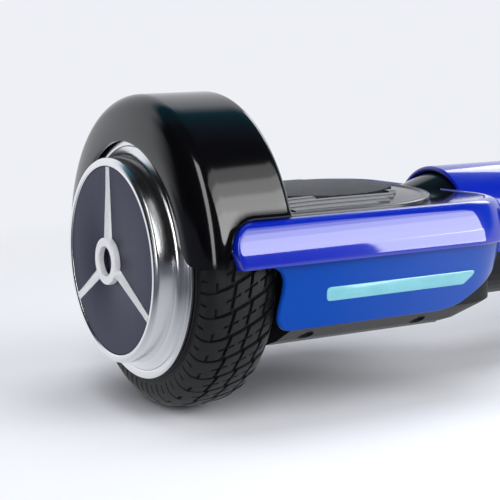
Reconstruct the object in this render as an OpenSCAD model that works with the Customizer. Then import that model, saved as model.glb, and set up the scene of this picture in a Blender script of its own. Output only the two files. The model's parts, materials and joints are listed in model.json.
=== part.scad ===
// Self balancing board: two halves that twist on one pivot tube, with a hub motor wheel at each end.
// X runs along the axles, Y across the board with the lamps on the -Y side, Z up from the floor.
// Each half is described at +X, with u for its distance from the middle, and mirrored for -X.

/* [Tyre] */
// Outer diameter of the tyre
tyre_d = 165; // [160:1:172]
// Width of the tyre
tyre_w = 42; // [38:0.5:44]
// Tread blocks in one turn
tread_count = 36; // [24:1:40]
// Depth of the tread
tread_depth = 2; // [1:0.25:3]
// Width of the tread grooves
tread_gap = 1.8; // [1:0.1:2.5]

/* [Wheel] */
// Diameter of the rim flange beside the tyre
flange_d = 130; // [128:1:132]
// Diameter of the seat under the tyre
seat_d = 122; // [120:1:124]
// Diameter of the black disc in the wheel face
disc_d = 101; // [96:1:104]
// Radial width of the bright edge round the disc
edge_w = 3.4; // [2:0.2:4]
// How far the polished drum stands out past the flange
drum_depth = 13.6; // [10:0.2:16]
// How far the drum's foot flares out past the bright edge
drum_foot = 6.6; // [5:0.2:7]
// Spokes in the wheel face
spoke_count = 3; // [3:1:6]
// Spoke width at the centre ring
spoke_w_in = 5.6; // [4:0.2:8]
// Spoke width at the edge
spoke_w_out = 3.4; // [2:0.2:5]
// Height of the centre ring over the disc
spoke_rise = 3.4; // [2:0.2:5]
// Outer diameter of the centre ring
ring_d = 25; // [20:1:30]
// Hole through the centre ring
ring_hole_d = 16; // [10:1:18]

/* [Hub motor] */
// Diameter of the fixed axle
axle_d = 15; // [12:0.5:17]
// Outer diameter of the wheel bearings
bearing_d = 35; // [32:0.5:37]
// Width of each wheel bearing
bearing_w = 11; // [8:0.5:11]
// Radial wall of the rotor ring
rotor_wall = 5; // [4:0.5:6]
// Thickness of the magnets
magnet_t = 3.2; // [2:0.2:4]
// Magnets round the rotor
magnet_count = 30; // [20:2:40]
// Air gap between magnets and stator
air_gap = 0.6; // [0.4:0.1:0.9]
// Stator teeth
tooth_count = 27; // [18:3:36]
// Length of the stator stack
stack_l = 24; // [20:1:26]

/* [Body] */
// Height of the deck above the axle
deck_rise = 26; // [24:0.5:30]
// Height of the side bar
bar_h = 23.4; // [20:0.2:26]
// Depth of the side bar's round from front to deck
bar_round = 12.5; // [10:0.5:14]
// How far the panel under the bar stands back from the bar
panel_step = 4.6; // [3.5:0.1:6]
// How far the panel leans in towards its lower edge
panel_lean = 3.4; // [2:0.2:5]
// Height of the panel's lower edge below the axle
panel_drop = 31.3; // [28:0.1:33]
// How far the side bars stand out past the tyre's clearance
bar_out = 7.5; // [6:0.5:10]
// Radius of the body's inner corners in plan
corner_r = 45; // [41:1:50]
// Wall of the moulded shells
wall = 3; // [2:0.25:3.5]
// Distance that the side bars run out beside the tyre, past the body
bar_reach = 38; // [34:0.5:42]

/* [Neck] */
// Distance from the middle to the body
neck_l = 70; // [66:1:76]
// Outer diameter of the neck
neck_d = 75; // [72:1:78]
// Gap between the two necks
neck_gap = 3; // [2:0.5:4]
// How far the hood of the neck runs in over the deck
hood_l = 6.5; // [5:0.5:9]

/* [Fender] */
// Clearance between the tyre and the fender
fender_gap = 3; // [2.5:0.5:5]
// Wall of the fender
fender_wall = 2.2; // [2:0.1:3]
// Radius of the fender's outer edge
fender_round = 11; // [8:0.5:14]
// Height of the fender's lower ends above the axle
fender_end = 4.5; // [3:0.5:8]
// Clearance of the fender's arch round the rim flange
arch_gap = 2; // [1.5:0.5:3]

/* [Foot pad] */
// Distance from the body's inner end to the pad
pad_inset = 36; // [34:0.5:44]
// Distance from the body's side to the pad
pad_side = 18; // [17:0.5:28]
// Thickness of the pad without its ribs
pad_t = 4.5; // [4:0.5:6]
// How far the pad stands above the deck
pad_proud = 2.5; // [1.5:0.5:3.5]
// Height of the pad's ribs
rib_h = 0.8; // [0.5:0.1:1.2]
// Distance between the ribs
rib_pitch = 7; // [6:0.5:10]
// Travel of the pad when a foot presses it
pad_travel = 1.5; // [1:0.25:2]

/* [Lamp] */
// Length of the straight part of the lamp
lamp_l = 93; // [76:1:96]
// Height of the lamp
lamp_h = 7.3; // [5:0.1:9]
// Height of the lamp's lower edge over the panel's lower edge
lamp_rise = 13.2; // [12:0.2:16]
// Angle by which the lamp runs on round the corner
lamp_turn = 6.5; // [4:0.5:12]

/* [Pivot] */
// Outer diameter of the pivot tube
tube_d = 30; // [26:0.5:32]
// Wall of the pivot tube
tube_wall = 3; // [2:0.25:4]
// Wall of the pivot bushes
bush_wall = 3; // [2:0.25:4]
// Outer diameter of the chassis hubs that hold the tube
hub_d = 48; // [46:1:52]
// Twist of one half against the other, each way
twist = 12; // [8:1:15]
// Diameter of the stop pin that limits the twist
stop_d = 6; // [4:0.5:8]

/* [Chassis] */
// Thickness of the chassis plate
plate_t = 4; // [3:0.5:5]
// Height of the axle saddle below the axle
saddle_h = 16; // [14:1:18]
// Length of the axle saddle
saddle_l = 32; // [26:1:34]
// Width of the axle saddle
saddle_w = 44; // [40:1:50]
// Bolt diameter of the axle clamp
bolt_d = 5; // [4:0.5:6]
// Screw diameter of the shells
screw_d = 4; // [3:0.5:5]

/* [Battery] */
// Diameter of a battery cell
cell_d = 18.4; // [16:0.2:18.8]
// Length of a battery cell
cell_l = 65; // [50:1:68]
// Thickness of the sleeve round the cells
sleeve_t = 0.8; // [0.5:0.1:1]

/* [Main board] */
// Length of the heat sink along the board
sink_l = 80; // [60:1:84]
// Thickness of the heat sink
sink_t = 5; // [3:0.5:6]

/* [Charging] */
// Bore of the charging socket
socket_d = 13; // [11:0.5:14]
// Outer diameter of the charging socket's collar
collar_d = 19; // [17:0.5:20]
// Diameter of the power button
button_d = 13; // [10:0.5:15]
// Travel of the power button
button_travel = 2; // [1:0.25:3]

/* [Fits] */
// Radial clearance where one piece runs on another
run = 0.05; // [0.02:0.01:0.09]
// Radial clearance between pieces that are fixed together
fit = 0.1; // [0.05:0.05:0.15]
// Gap between pieces that move past or lie beside each other
gap = 0.3; // [0.25:0.05:0.5]

/* [Hidden] */
$fn = 72;
arc_n = 8; // steps in a quarter round of a moulded edge

// Heights and width of the body
axle_z = tyre_d / 2;
deck_z = axle_z + deck_rise;
bar_low_z = deck_z - bar_h;
bar_mid_z = deck_z - bar_round - 1;
panel_low_z = axle_z - panel_drop;
half_w = tyre_d / 2 + fender_gap + bar_out;
body_w = 2 * half_w;

// Stations along u, from the middle outwards: each half is as long as what it holds
corner_u = neck_l + corner_r;
belly_d = corner_r - 2;
battery_inset = 4.4; // from the start of the flat belly to the battery
cell_u = neck_l + belly_d + battery_inset;
axle_in_u = cell_u + cell_l + sleeve_t + 1;
body_out_u = axle_in_u + saddle_l + 8;
bar_end_u = body_out_u + bar_reach;
panel_reach = 12; // how far the panel runs out past the body
panel_end_u = body_out_u + panel_reach;
fender_in_u = body_out_u + gap;
tyre_room = 4.5; // between the fender's inner side and the tyre
tyre_in_u = fender_in_u + tyre_room;
tyre_mid_u = tyre_in_u + tyre_w / 2;
tyre_out_u = tyre_in_u + tyre_w;
flange_w = 4; // how far the rim's flange stands out past the tyre
flange_u = tyre_out_u + flange_w;
fender_over = 4.5; // how far the fender stands out past the rim flange
fender_out_u = flange_u + fender_over;
disc_u = flange_u + drum_depth;
half_l = disc_u + spoke_rise;
disc_t = 3.4; // thickness of the black disc
face_t = disc_t + 3.6; // from the wheel's face to the back of its outer end wall
cover_t = 2; // wall of the motor's inner end
bearing_out_u = disc_u - face_t - bearing_w;
bearing_in_u = tyre_in_u + cover_t;

// Radii round the axle
seat_r = seat_d / 2;
flange_r = flange_d / 2;
disc_r = disc_d / 2;
edge_r = disc_r + edge_w;
rotor_r = seat_r - rotor_wall;
magnet_r = rotor_r - fit;
stator_r = magnet_r - magnet_t - air_gap;
axle_r = axle_d / 2;
bearing_r = bearing_d / 2;
sleeve_r = axle_r + 2.5;
fender_in_r = tyre_d / 2 + fender_gap;
fender_r = fender_in_r + fender_wall;
arch_r = flange_r + arch_gap;
neck_r = neck_d / 2;
neck_in_r = neck_r - wall;
tube_r = tube_d / 2;
bush_r = tube_r + run + bush_wall;
hub_r = hub_d / 2;

// Depths d measured in from the body's outline
lip_d = bar_round + 1;
panel_d = panel_step;
panel_low_d = panel_step + panel_lean;
tub_d = panel_low_d + wall + 2 * gap;
tub_wall = wall - 0.5;

// Heights inside the body
tub_lap = 4.5;
plate_top_z = axle_z + 1;
plate_z = plate_top_z - plate_t;
cell_pitch = cell_d + 0.2;
cell_rise = cell_pitch * sin(60);
cell_z = plate_z - 2 * sleeve_t - cell_d - cell_rise; // underside of the battery
battery_lift = 3.4; // between the battery and the belly
floor_z = cell_z - battery_lift;
belly_z = floor_z - wall;
tub_top_z = panel_low_z + tub_lap;
recess_z = deck_z + pad_proud - pad_t - pad_travel - 0.5;
recess_t = 2;
recess_wall = 2.4;
neck_split_z = axle_z - 12;

// Charging side of the board
socket_inset = 34.2; // from the body's outer end
button_inset = 70.2;
socket_u = body_out_u - socket_inset;
button_u = body_out_u - button_inset;
service_z = (bar_low_z + panel_low_z) / 2;

function arc(c, rx, ry, from, to, n = arc_n) =
  [for (i = [0:n]) let (a = from + (to - from) * i / n) c + [rx * cos(a), ry * sin(a)]];
function swap(points) = [for (p = points) [p[1], p[0]]];
function down(points) = [for (i = [len(points) - 1:-1:0]) points[i]];

// Placing and sweeping

// A profile of [radius, u] turned round the axle line
module turned(angle = 360)
  translate([0, 0, axle_z]) rotate([0, 90, 0]) rotate_extrude(angle = angle) children();

// A round bar or bore on the axle line
module rod(r, from, to)
  translate([from, 0, axle_z]) rotate([0, 90, 0]) cylinder(r = r, h = to - from);

// A round bar across the board, at height z
module cross_rod(r, u, z, from, to)
  translate([u, from, z]) rotate([-90, 0, 0]) cylinder(r = r, h = to - from);

// A profile of [y, z] drawn out along u
module along_u(from, to)
  translate([from, 0, 0]) rotate([90, 0, 90]) linear_extrude(to - from) children();

// A profile of [u, z] drawn out across the board
module across(from, to)
  translate([0, to, 0]) rotate([90, 0, 0]) linear_extrude(to - from) children();

module both_sides() {
  children();
  mirror([0, 1, 0]) children();
}

// A profile of [d, z] swept along one long side of the body, out to u = to
module swept_side(to)
  translate([0, -half_w, 0]) along_u(corner_u, to) children();

// The same profile round one inner corner
module swept_corner()
  translate([corner_u, corner_r - half_w, 0]) rotate([0, 0, 180]) rotate_extrude(angle = 90)
    translate([corner_r, 0]) mirror([1, 0]) children();

// The same profile along the body's inner end
module swept_end()
  translate([neck_l, 0, 0]) across(corner_r - half_w, half_w - corner_r) children();

module swept_round(to) {
  both_sides() {
    swept_side(to) children();
    swept_corner() children();
  }
  swept_end() children();
}

// Outlines in [u, z]

// The panel's lower edge, which climbs towards the neck
climb_u = corner_u + 22;
climb_r = 45;
climb_a = 27;
climb_end = [climb_u - climb_r * sin(climb_a), panel_low_z + climb_r * (1 - cos(climb_a))];
function climb(lift = 0) = concat(
  down(arc([climb_u, panel_low_z + climb_r + lift], climb_r, climb_r, 270 - climb_a, 270)),
  [[0, climb_end[1] + climb_end[0] * tan(climb_a) + lift]]);

// The bar's end beside the tyre, and the S shaped end of the panel below it
bar_end_r = 14;
notch_r = 8;
foot_r = 7;
notch_u = panel_end_u - 3;
module side_outline(grow = 0)
  polygon(concat(
    [[0, deck_z + grow + 20], [corner_u, deck_z + grow + 20], [corner_u + 1, deck_z + grow]],
    down(arc([bar_end_u - bar_end_r, deck_z - bar_end_r], bar_end_r + grow, bar_end_r + grow, 0, 90)),
    [[bar_end_u - 3 + grow, bar_low_z - grow]],
    arc([notch_u + notch_r, bar_low_z - notch_r - grow], notch_r, notch_r, 90, 180),
    [for (i = [1:5]) let (t = i / 6)
      [notch_u + 3 * (1 - cos(180 * t)) / 2, (bar_low_z - notch_r) * (1 - t) + (panel_low_z + foot_r) * t]],
    down(arc([panel_end_u - foot_r, panel_low_z + foot_r], foot_r, foot_r, -90, 0)),
    climb()));

// The bar alone, grown by a gap, which the fender is cut round
module bar_outline(grow)
  polygon(concat(
    [[body_out_u - 20, deck_z + grow]],
    down(arc([bar_end_u - bar_end_r, deck_z - bar_end_r], bar_end_r + grow, bar_end_r + grow, 0, 90)),
    [[bar_end_u - 3 + grow, bar_low_z - 20], [body_out_u - 20, bar_low_z - 20]]));

// Upper shell

bar_h_up = deck_z - bar_mid_z;
module shell_profile()
  polygon(concat(
    [[lip_d, deck_z]],
    arc([bar_round, bar_mid_z], bar_round, bar_h_up, 90, 180),
    arc([bar_round * 2, bar_mid_z], bar_round * 2, bar_mid_z - bar_low_z, 186, 208, 4),
    [[panel_step - 1.2, bar_low_z], [panel_d, bar_low_z - 0.4], [panel_low_d, panel_low_z]],
    [[panel_low_d + wall, panel_low_z], [panel_d + wall, bar_low_z], [wall + 1.6, bar_low_z + 5]],
    down(arc([bar_round, bar_mid_z], bar_round - wall, bar_h_up - wall, 90, 180)),
    [[lip_d, deck_z - wall]]));

// The bar's section without its hollow, for the wall that closes its end
module bar_section()
  polygon(concat(
    [[lip_d, deck_z]],
    arc([bar_round, bar_mid_z], bar_round, bar_h_up, 90, 180),
    [[panel_step - 1.2, bar_low_z], [lip_d, bar_low_z]]));

// Face of the panel at height z, as a depth d
function panel_at(z) = panel_d + panel_lean * (bar_low_z - z) / (bar_low_z - panel_low_z);

lamp_low_z = panel_low_z + lamp_rise;
lamp_top_z = lamp_low_z + lamp_h;
lamp_t = wall + 0.6;
module lamp_profile(grow, back)
  polygon([
    [panel_at(lamp_low_z) - grow, lamp_low_z - grow],
    [panel_at(lamp_top_z) - grow, lamp_top_z + grow],
    [panel_at(lamp_top_z) + back, lamp_top_z + grow],
    [panel_at(lamp_low_z) + back, lamp_low_z - grow]]);

// Round at the outer end, cut on a slant at the inner end
lamp_out_u = corner_u + lamp_l;
lamp_in_u = corner_u - (corner_r - panel_step) * sin(lamp_turn);
module lamp_outline(grow)
  polygon(concat(
    arc([lamp_out_u - 2.5, lamp_top_z - 2.5], 2.5 + grow, 2.5 + grow, 90, 0, 4),
    arc([lamp_out_u - 2.5, lamp_low_z + 2.5], 2.5 + grow, 2.5 + grow, 0, -90, 4),
    [[lamp_in_u + lamp_h * 1.3 - grow, lamp_low_z - grow], [lamp_in_u - grow * 2, lamp_top_z + grow]]));

module lamp_strip(grow, back)
  intersection() {
    union() {
      swept_side(lamp_out_u + 5) lamp_profile(grow, back);
      swept_corner() lamp_profile(grow, back);
    }
    across(-half_w, 0) lamp_outline(grow);
  }

// Upright sides and a round top, the section of the neck above its split
module neck_top(r, low)
  union() {
    translate([0, axle_z]) intersection() {
      circle(r = r);
      translate([-r, 0]) square([2 * r, r]);
    }
    translate([-r, low]) square([2 * r, axle_z - low]);
  }

module upper_shell(service) {
  shell_body(service);
  if (service) flap_lugs();
}

hub_room = 20; // how far the way for the hub runs down below the neck's split
module shell_body(service)
  difference() {
    union() {
      intersection() {
        union() {
          swept_round(bar_end_u) shell_profile();
          both_sides() swept_side_cap();
        }
        across(-body_w, body_w) side_outline();
      }
      along_u(neck_gap / 2, neck_l + hood_l) neck_top(neck_r, neck_split_z);
    }
    along_u(0, neck_l + hood_l) neck_top(neck_in_r, neck_split_z - hub_room);
    // Past the hood the way in runs under the deck and its ramp
    along_u(0, neck_l + lip_d + 1) intersection() {
      neck_top(neck_in_r, neck_split_z - hub_room);
      translate([-neck_r, 0]) square([2 * neck_r, deck_z - wall]);
    }
    ramp(-gap);
    rod(fender_in_r, body_out_u + 1, half_l);
    deck_pocket();
    lamp_strip(gap, wall + 5);
    if (service) service_holes();
  }

// The wall that closes the bar beside the tyre
module swept_side_cap()
  translate([0, -half_w, 0]) along_u(bar_end_u - 3 - wall, bar_end_u) bar_section();

// Room for the deck between the bars, outside the neck's hood
module deck_pocket()
  difference() {
    translate([0, 0, deck_z - wall - 1]) linear_extrude(wall + 30) deck_plan(0);
    along_u(neck_gap, neck_l + hood_l) neck_top(neck_r, 0);
  }

// Deck and foot pad, in plan

module deck_plan(shrink) {
  in_u = neck_l + lip_d + shrink;
  y = half_w - lip_d - shrink;
  r = corner_r - lip_d - shrink;
  polygon(concat(
    [[body_out_u, -y]],
    [[body_out_u, y]],
    arc([in_u + r, y - r], r, r, 90, 180),
    arc([in_u + r, r - y], r, r, 180, 270)));
}

pad_out_u = body_out_u - 3;
pad_in_u = neck_l + pad_inset;
pad_l = pad_out_u - pad_in_u;
pad_w = body_w - 2 * pad_side;
// A straight outer end and a full round inner end
module pad_plan(shrink)
  polygon(concat(
    [[pad_out_u - shrink, shrink - pad_w / 2], [pad_out_u - shrink, pad_w / 2 - shrink]],
    [for (i = [0:24]) let (a = 90 - 180 * i / 24, p = 2 / 2.6)
      [pad_in_u + 60 - (60 - shrink) * pow(abs(cos(a)), p),
       sign(sin(a)) * (pad_w / 2 - shrink) * pow(abs(sin(a)), p)]]));

post_r = 4;
post_head = 2;
post_u = [pad_in_u + 34, pad_out_u - 22];
post_y = pad_w / 2 - 26;
module at_posts()
  for (u = post_u, y = [-post_y, post_y]) translate([u, y, 0]) children();

// Ramp from the deck, beside the pad's recess, up to the hood of the neck
ramp_u = pad_in_u - recess_wall - 1;
module ramp(shrink)
  translate([neck_l + 4, 0, axle_z]) rotate([0, 90, 0])
    cylinder(r1 = neck_in_r - gap - shrink, r2 = deck_rise - 1 - shrink, h = ramp_u - neck_l - 4);

module deck_plate()
  difference() {
    union() {
      translate([0, 0, deck_z - wall]) linear_extrude(wall - 0.5) deck_plan(gap);
      translate([0, 0, recess_z - recess_t])
        linear_extrude(deck_z - wall - recess_z + recess_t) pad_plan(-recess_wall);
      difference() {
        ramp(0);
        translate([0, 0, deck_z - wall - 200]) cube([2 * half_l, body_w, 400], center = true);
      }
    }
    translate([0, 0, recess_z]) linear_extrude(30) pad_plan(-gap);
    ramp(wall - 0.5);
    at_posts() translate([0, 0, recess_z - 10]) cylinder(r = post_r + gap, h = 20);
    at_bosses(recess_z - recess_t) deck_screw(fit);
  }

// Countersunk, so that it lies flush under the pad
deck_screw_l = 2.5 * screw_d;
module deck_screw(grow) {
  translate([0, 0, -deck_screw_l - grow])
    cylinder(r = screw_d / 2 + grow, h = deck_screw_l + recess_t + grow);
  cylinder(r1 = screw_d / 2 + grow, r2 = screw_d + grow, h = recess_t);
}

module deck_screws() at_bosses(recess_z - recess_t) deck_screw(0);

module foot_pad() {
  top = deck_z + pad_proud;
  translate([0, 0, top - pad_t]) linear_extrude(pad_t) pad_plan(0);
  // Ribs along the board, inside a plain border
  intersection() {
    for (y = [-pad_w / 2 + 6:rib_pitch:pad_w / 2])
      translate([pad_in_u, y - rib_pitch * 0.3, top]) cube([pad_l, rib_pitch * 0.6, rib_h]);
    translate([0, 0, top]) linear_extrude(rib_h) pad_plan(5);
  }
  at_posts() {
    translate([0, 0, head_z]) cylinder(r = post_r, h = top - pad_t - head_z + 1);
    translate([0, 0, head_z]) cylinder(r = post_r + 2, h = post_head);
  }
}

// Lower shell

// Height of the belly where its steep part ends
slope_z = panel_low_z * 0.3 + belly_z * 0.7;
module tub_profile()
  polygon([
    [tub_d, deck_z], [tub_d, panel_low_z + 1], [tub_d + 3, panel_low_z - 1],
    [tub_d + 19, slope_z], [belly_d, belly_z], [belly_d, floor_z],
    [tub_d + 20, slope_z + wall], [tub_d + tub_wall + 1, panel_low_z + 2],
    [tub_d + tub_wall, panel_low_z + 4], [tub_d + tub_wall, deck_z]]);

// The tub's whole section, for the wall that closes it beside the wheel
module tub_section()
  both_halves_2d() polygon([
    [-half_w + tub_d, deck_z - 2 * wall], [-half_w + tub_d, panel_low_z + 1],
    [-half_w + tub_d + 3, panel_low_z - 1], [-half_w + tub_d + 19, slope_z],
    [-half_w + belly_d, belly_z], [0, belly_z], [0, deck_z - 2 * wall]]);

module both_halves_2d() {
  children();
  mirror([1, 0]) children();
}

// What of the tub's side wall stays, just above the panel's lower edge
module tub_outline()
  polygon(concat(
    [[0, 0], [half_l, 0], [half_l, tub_top_z]], climb(tub_lap)));

module neck_trough(r, low)
  translate([0, neck_split_z - gap]) intersection() {
    polygon(arc([0, 0], r, neck_split_z - low, 180, 360, 20));
    translate([-r, -200]) square([2 * r, 200]);
  }

boss_r = screw_d / 2 + 3;
boss_y = half_w - 27;
boss_u = [neck_l + 66, body_out_u - 16];
boss_z = belly_z * 0.5 + panel_low_z * 0.5 + wall / 2;
module at_bosses(z)
  for (u = boss_u, y = [-boss_y, boss_y]) translate([u, y, z]) children();

module lower_shell()
  difference() {
    union() {
      intersection() {
        swept_round(body_out_u) tub_profile();
        across(-body_w, body_w) tub_outline();
      }
      translate([neck_l + belly_d - 2, -(half_w - belly_d), belly_z])
        cube([body_out_u - neck_l - belly_d + 2, 2 * (half_w - belly_d), wall]);
      along_u(body_out_u - wall, body_out_u) tub_section();
      along_u(neck_gap / 2, neck_l + tub_d + 8) neck_trough(neck_r, belly_z + 3);
      at_bosses(boss_z) cylinder(r = boss_r, h = plate_z - boss_z);
    }
    along_u(0, neck_l + tub_d + 9) neck_trough(neck_in_r, belly_z + 3 + wall);
    along_u(0, neck_l + tub_d + 9) translate([-neck_in_r, neck_split_z - 5]) square([2 * neck_in_r, 60]);
    rod(bearing_r + 6, body_out_u - wall - 1, body_out_u + 1);
    at_bosses(belly_z - 20) cylinder(r = screw_d / 2 + fit, h = 200);
    at_bosses(belly_z - 20) cylinder(r = screw_d + gap, h = screw_head_z + gap - belly_z + 20);
  }

// Fender

// Channel over the tyre: outer side, tread and inner side, as [radius, u]
module fender_profile() {
  r = fender_r;
  t = fender_wall;
  in_round = 6;
  polygon(concat(
    [[arch_r, fender_out_u - t], [arch_r, fender_out_u - 0.8], [arch_r + 1, fender_out_u]],
    swap(arc([fender_out_u - fender_round, r - fender_round], fender_round, fender_round, 0, 90)),
    swap(arc([fender_in_u + in_round, r - in_round], in_round, in_round, 90, 180)),
    [[arch_r - 50, fender_in_u], [arch_r - 50, fender_in_u + t]],
    swap(arc([fender_in_u + in_round, r - in_round], in_round - t, in_round - t, 180, 90)),
    swap(arc([fender_out_u - fender_round, r - fender_round], fender_round - t, fender_round - t, 90, 0))));
}

fender_corner = 9;
fender_lap = 4 * wall;
module fender()
  difference() {
    turned() fender_profile();
    // Everything under the fender's ends
    translate([0, -body_w, -half_l]) cube([half_l, 2 * body_w, half_l + axle_z + fender_end]);
    // The inner side laps behind the deck and the tub's end wall
    translate([fender_in_u - 1, -half_w + lip_d, 0])
      cube([fender_wall + 1.5, body_w - 2 * lip_d, deck_z - fender_lap]);
    // Round lower corners of the arch
    both_sides() along_u(fender_out_u - fender_wall - 2, fender_out_u + 1)
      translate([-arch_r - fender_corner, axle_z + fender_end]) difference() {
        translate([0, -1]) square([fender_corner + 1, fender_corner + 1]);
        translate([0, fender_corner]) circle(r = fender_corner);
      }
    both_sides() across(-body_w, lip_d - half_w + gap) bar_outline(1.2);
  }

// Wheel, which turns on the axle

function crown(t) = seat_r + 7 + (tyre_d / 2 - seat_r - 7) * pow(max(0, 1 - pow(abs(t), 2.6)), 1 / 2.6);
module tyre_profile()
  polygon(concat(
    [[seat_r + fit, tyre_in_u + 1], [seat_r + 2, tyre_in_u]],
    [for (i = [0:24]) let (t = sin(-90 + 180 * i / 24)) [crown(t), tyre_mid_u + t * tyre_w / 2]],
    [[flange_r + 1, tyre_out_u], [flange_r + 0.5, flange_u - 3.4], [seat_r + fit, flange_u - 3.4]]));

groove_u = tyre_w * 0.22; // from the middle groove to those beside it
shoulder_lean = 24;
shoulder_drop = 2.6;
slot_lean = 28; // slots run across the tread on this slant

// A slot across one band of the tread, the bands being numbered from -1.5 to 1.5
module tread_slot(band) {
  side = sign(band);
  outer = abs(band) > 1;
  u = side * (outer ? groove_u + tyre_w / 7 : groove_u / 2);
  turn = u * tan(slot_lean) / (tyre_d / 2);
  rotate([turn * 180 / PI, 0, 0]) translate([u, 0, tyre_d / 2 - (outer ? shoulder_drop : 0)])
    rotate([0, outer ? side * shoulder_lean : 0, 0]) rotate([0, 0, -slot_lean])
      cube([outer ? tyre_w / 2.6 : groove_u * 1.1, tread_gap * (outer ? 0.7 : 1), 2 * tread_depth],
           center = true);
}

module tyre()
  difference() {
    turned() tyre_profile();
    // Three grooves round the tread
    for (s = [-1:1]) turned()
      translate([tyre_d / 2 - tread_depth - 0.6, tyre_mid_u + s * groove_u - tread_gap / 2])
        square([10, tread_gap]);
    for (i = [0:tread_count - 1], band = [-1.5:1:1.5])
      translate([tyre_mid_u, 0, axle_z]) rotate([i * 360 / tread_count, 0, 0]) tread_slot(band);
  }

// Rotor ring with a flange each side of the tyre, and a stepped seat for the drum's foot
foot_t = 1.4;
seat_lip = 3;
module rim()
  turned() polygon(concat(
    [[rotor_r, tyre_in_u + 3], [seat_r, tyre_in_u + 3], [seat_r, flange_u - 3]],
    [[flange_r - 0.8, flange_u - 3], [flange_r, flange_u - 2.2]],
    arc([flange_r - 1.2, flange_u - 1.2], 1.2, 1.2, 0, 90, 4),
    [[edge_r + drum_foot, flange_u - 0.6], [edge_r + drum_foot, flange_u - foot_t],
     [edge_r + seat_lip, flange_u - foot_t], [edge_r + seat_lip, flange_u - 3], [rotor_r, flange_u - 3]]));

// Polished drum with a flared foot, and the outer end of the motor with the outer bearing's seat
boss_t = 4;
flare_h = 6;
foot_edge = 0.9; // thickness of the foot at its edge
module outer_cover()
  turned() polygon(concat(
    [[axle_r + 4, disc_u - face_t], [bearing_r + fit, disc_u - face_t], [bearing_r + fit, bearing_out_u],
     [bearing_r + boss_t, bearing_out_u], [bearing_r + boss_t, disc_u - face_t],
     [edge_r - 1, disc_u - face_t], [edge_r - 1, flange_u - 2.9],
     [edge_r + seat_lip - fit, flange_u - 2.9], [edge_r + seat_lip - fit, flange_u + fit - foot_t],
     [edge_r + drum_foot - fit, flange_u + fit - foot_t]],
    arc([edge_r + drum_foot - fit, flange_u + fit - foot_t + foot_edge + flare_h],
        drum_foot - fit - 1.4, flare_h, 270, 180),
    arc([edge_r - 0.6, disc_u - 0.2], 1, 1, 0, 90, 4),
    [[disc_r, disc_u + 0.4], [disc_r, disc_u - disc_t], [axle_r + 4, disc_u - disc_t]]));

// Inner end of the motor, with the inner bearing's seat
module inner_cover()
  turned() polygon([
    [axle_r + 4, tyre_in_u], [rotor_r - 4, tyre_in_u], [seat_r - fit, tyre_in_u + 1.6],
    [seat_r - fit, tyre_in_u + 3], [bearing_r + boss_t, tyre_in_u + 3],
    [bearing_r + boss_t, bearing_in_u + bearing_w], [bearing_r + fit, bearing_in_u + bearing_w],
    [bearing_r + fit, bearing_in_u], [axle_r + 4, bearing_in_u]]);

module wheel_disc()
  difference() {
    rod(disc_r - fit, disc_u - disc_t, disc_u);
    rod(ring_hole_d / 2, disc_u - 1.6, disc_u + 1);
  }

// Centre ring and spokes that fall away to the edge
module spokes() {
  difference() {
    rod(ring_d / 2, disc_u, disc_u + spoke_rise);
    rod(ring_hole_d / 2, disc_u - 1, disc_u + spoke_rise + 1);
  }
  reach = disc_r - 0.2;
  start = ring_d / 2 - 0.6;
  for (i = [0:spoke_count - 1])
    translate([0, 0, axle_z]) rotate([i * 360 / spoke_count, 0, 0]) intersection() {
      across(-spoke_w_in, spoke_w_in)
        polygon([[disc_u, start], [disc_u, reach], [disc_u + 0.6, reach], [disc_u + spoke_rise, start]]);
      along_u(disc_u - 1, disc_u + spoke_rise + 1)
        polygon([[-spoke_w_in / 2, start], [spoke_w_in / 2, start],
                 [spoke_w_out / 2, reach], [-spoke_w_out / 2, reach]]);
    }
}

module bearings() {
  for (u = [bearing_out_u, bearing_in_u])
    difference() {
      rod(bearing_r, u, u + bearing_w);
      rod(axle_r + run, u - 1, u + bearing_w + 1);
      // Grooves beside the races
      for (e = [u - 1, u + bearing_w - 1]) difference() {
        rod(bearing_r - 3, e, e + 2);
        rod(axle_r + 3, e - 1, e + 3);
      }
    }
}

stack_mid_u = (bearing_in_u + bearing_w + bearing_out_u) / 2;
magnet_share = 0.86; // part of the ring that the magnets fill
module magnets()
  for (i = [0:magnet_count - 1])
    translate([stack_mid_u - stack_l / 2, 0, axle_z]) rotate([0, 90, 0]) rotate(i * 360 / magnet_count)
      rotate_extrude(angle = 360 / magnet_count * magnet_share)
        translate([magnet_r - magnet_t, 0]) square([magnet_t, stack_l]);

// Hub motor pieces that stay still

module axle()
  difference() {
    union() {
      rod(axle_r, axle_in_u, disc_u - face_t - 0.2);
      rod(sleeve_r, bearing_in_u + bearing_w + gap, bearing_out_u - gap);
    }
    // Way for the motor's cable, out through the inner end
    rod(axle_r * 0.45, axle_in_u - 1, bearing_in_u + bearing_w + 4);
  }

yoke_r = stator_r - 16;
module tooth_2d(w, from, to)
  translate([-w / 2, from]) square([w, to - from]);

module stator_core()
  translate([stack_mid_u - stack_l / 2, 0, axle_z]) rotate([90, 0, 90]) linear_extrude(stack_l)
    difference() {
      union() {
        circle(r = yoke_r);
        for (i = [0:tooth_count - 1]) rotate(i * 360 / tooth_count) {
          tooth_2d(4, yoke_r - 1, stator_r - 2);
          intersection() {
            circle(r = stator_r);
            tooth_2d(9, stator_r - 2.5, stator_r + 1);
          }
        }
      }
      circle(r = sleeve_r + fit);
    }

// One coil round each tooth
coil_t = 1.4;
module windings()
  for (i = [0:tooth_count - 1])
    translate([stack_mid_u, 0, axle_z]) rotate([i * 360 / tooth_count, 0, 0]) difference() {
      translate([-stack_l / 2 - coil_t - gap, -2 - coil_t - fit, yoke_r + 4.4])
        cube([stack_l + 2 * coil_t + 2 * gap, 4 + 2 * coil_t + 2 * fit, 8]);
      translate([-stack_l / 2 - gap, -2 - fit, yoke_r]) cube([stack_l + 2 * gap, 4 + 2 * fit, 20]);
    }

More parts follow.
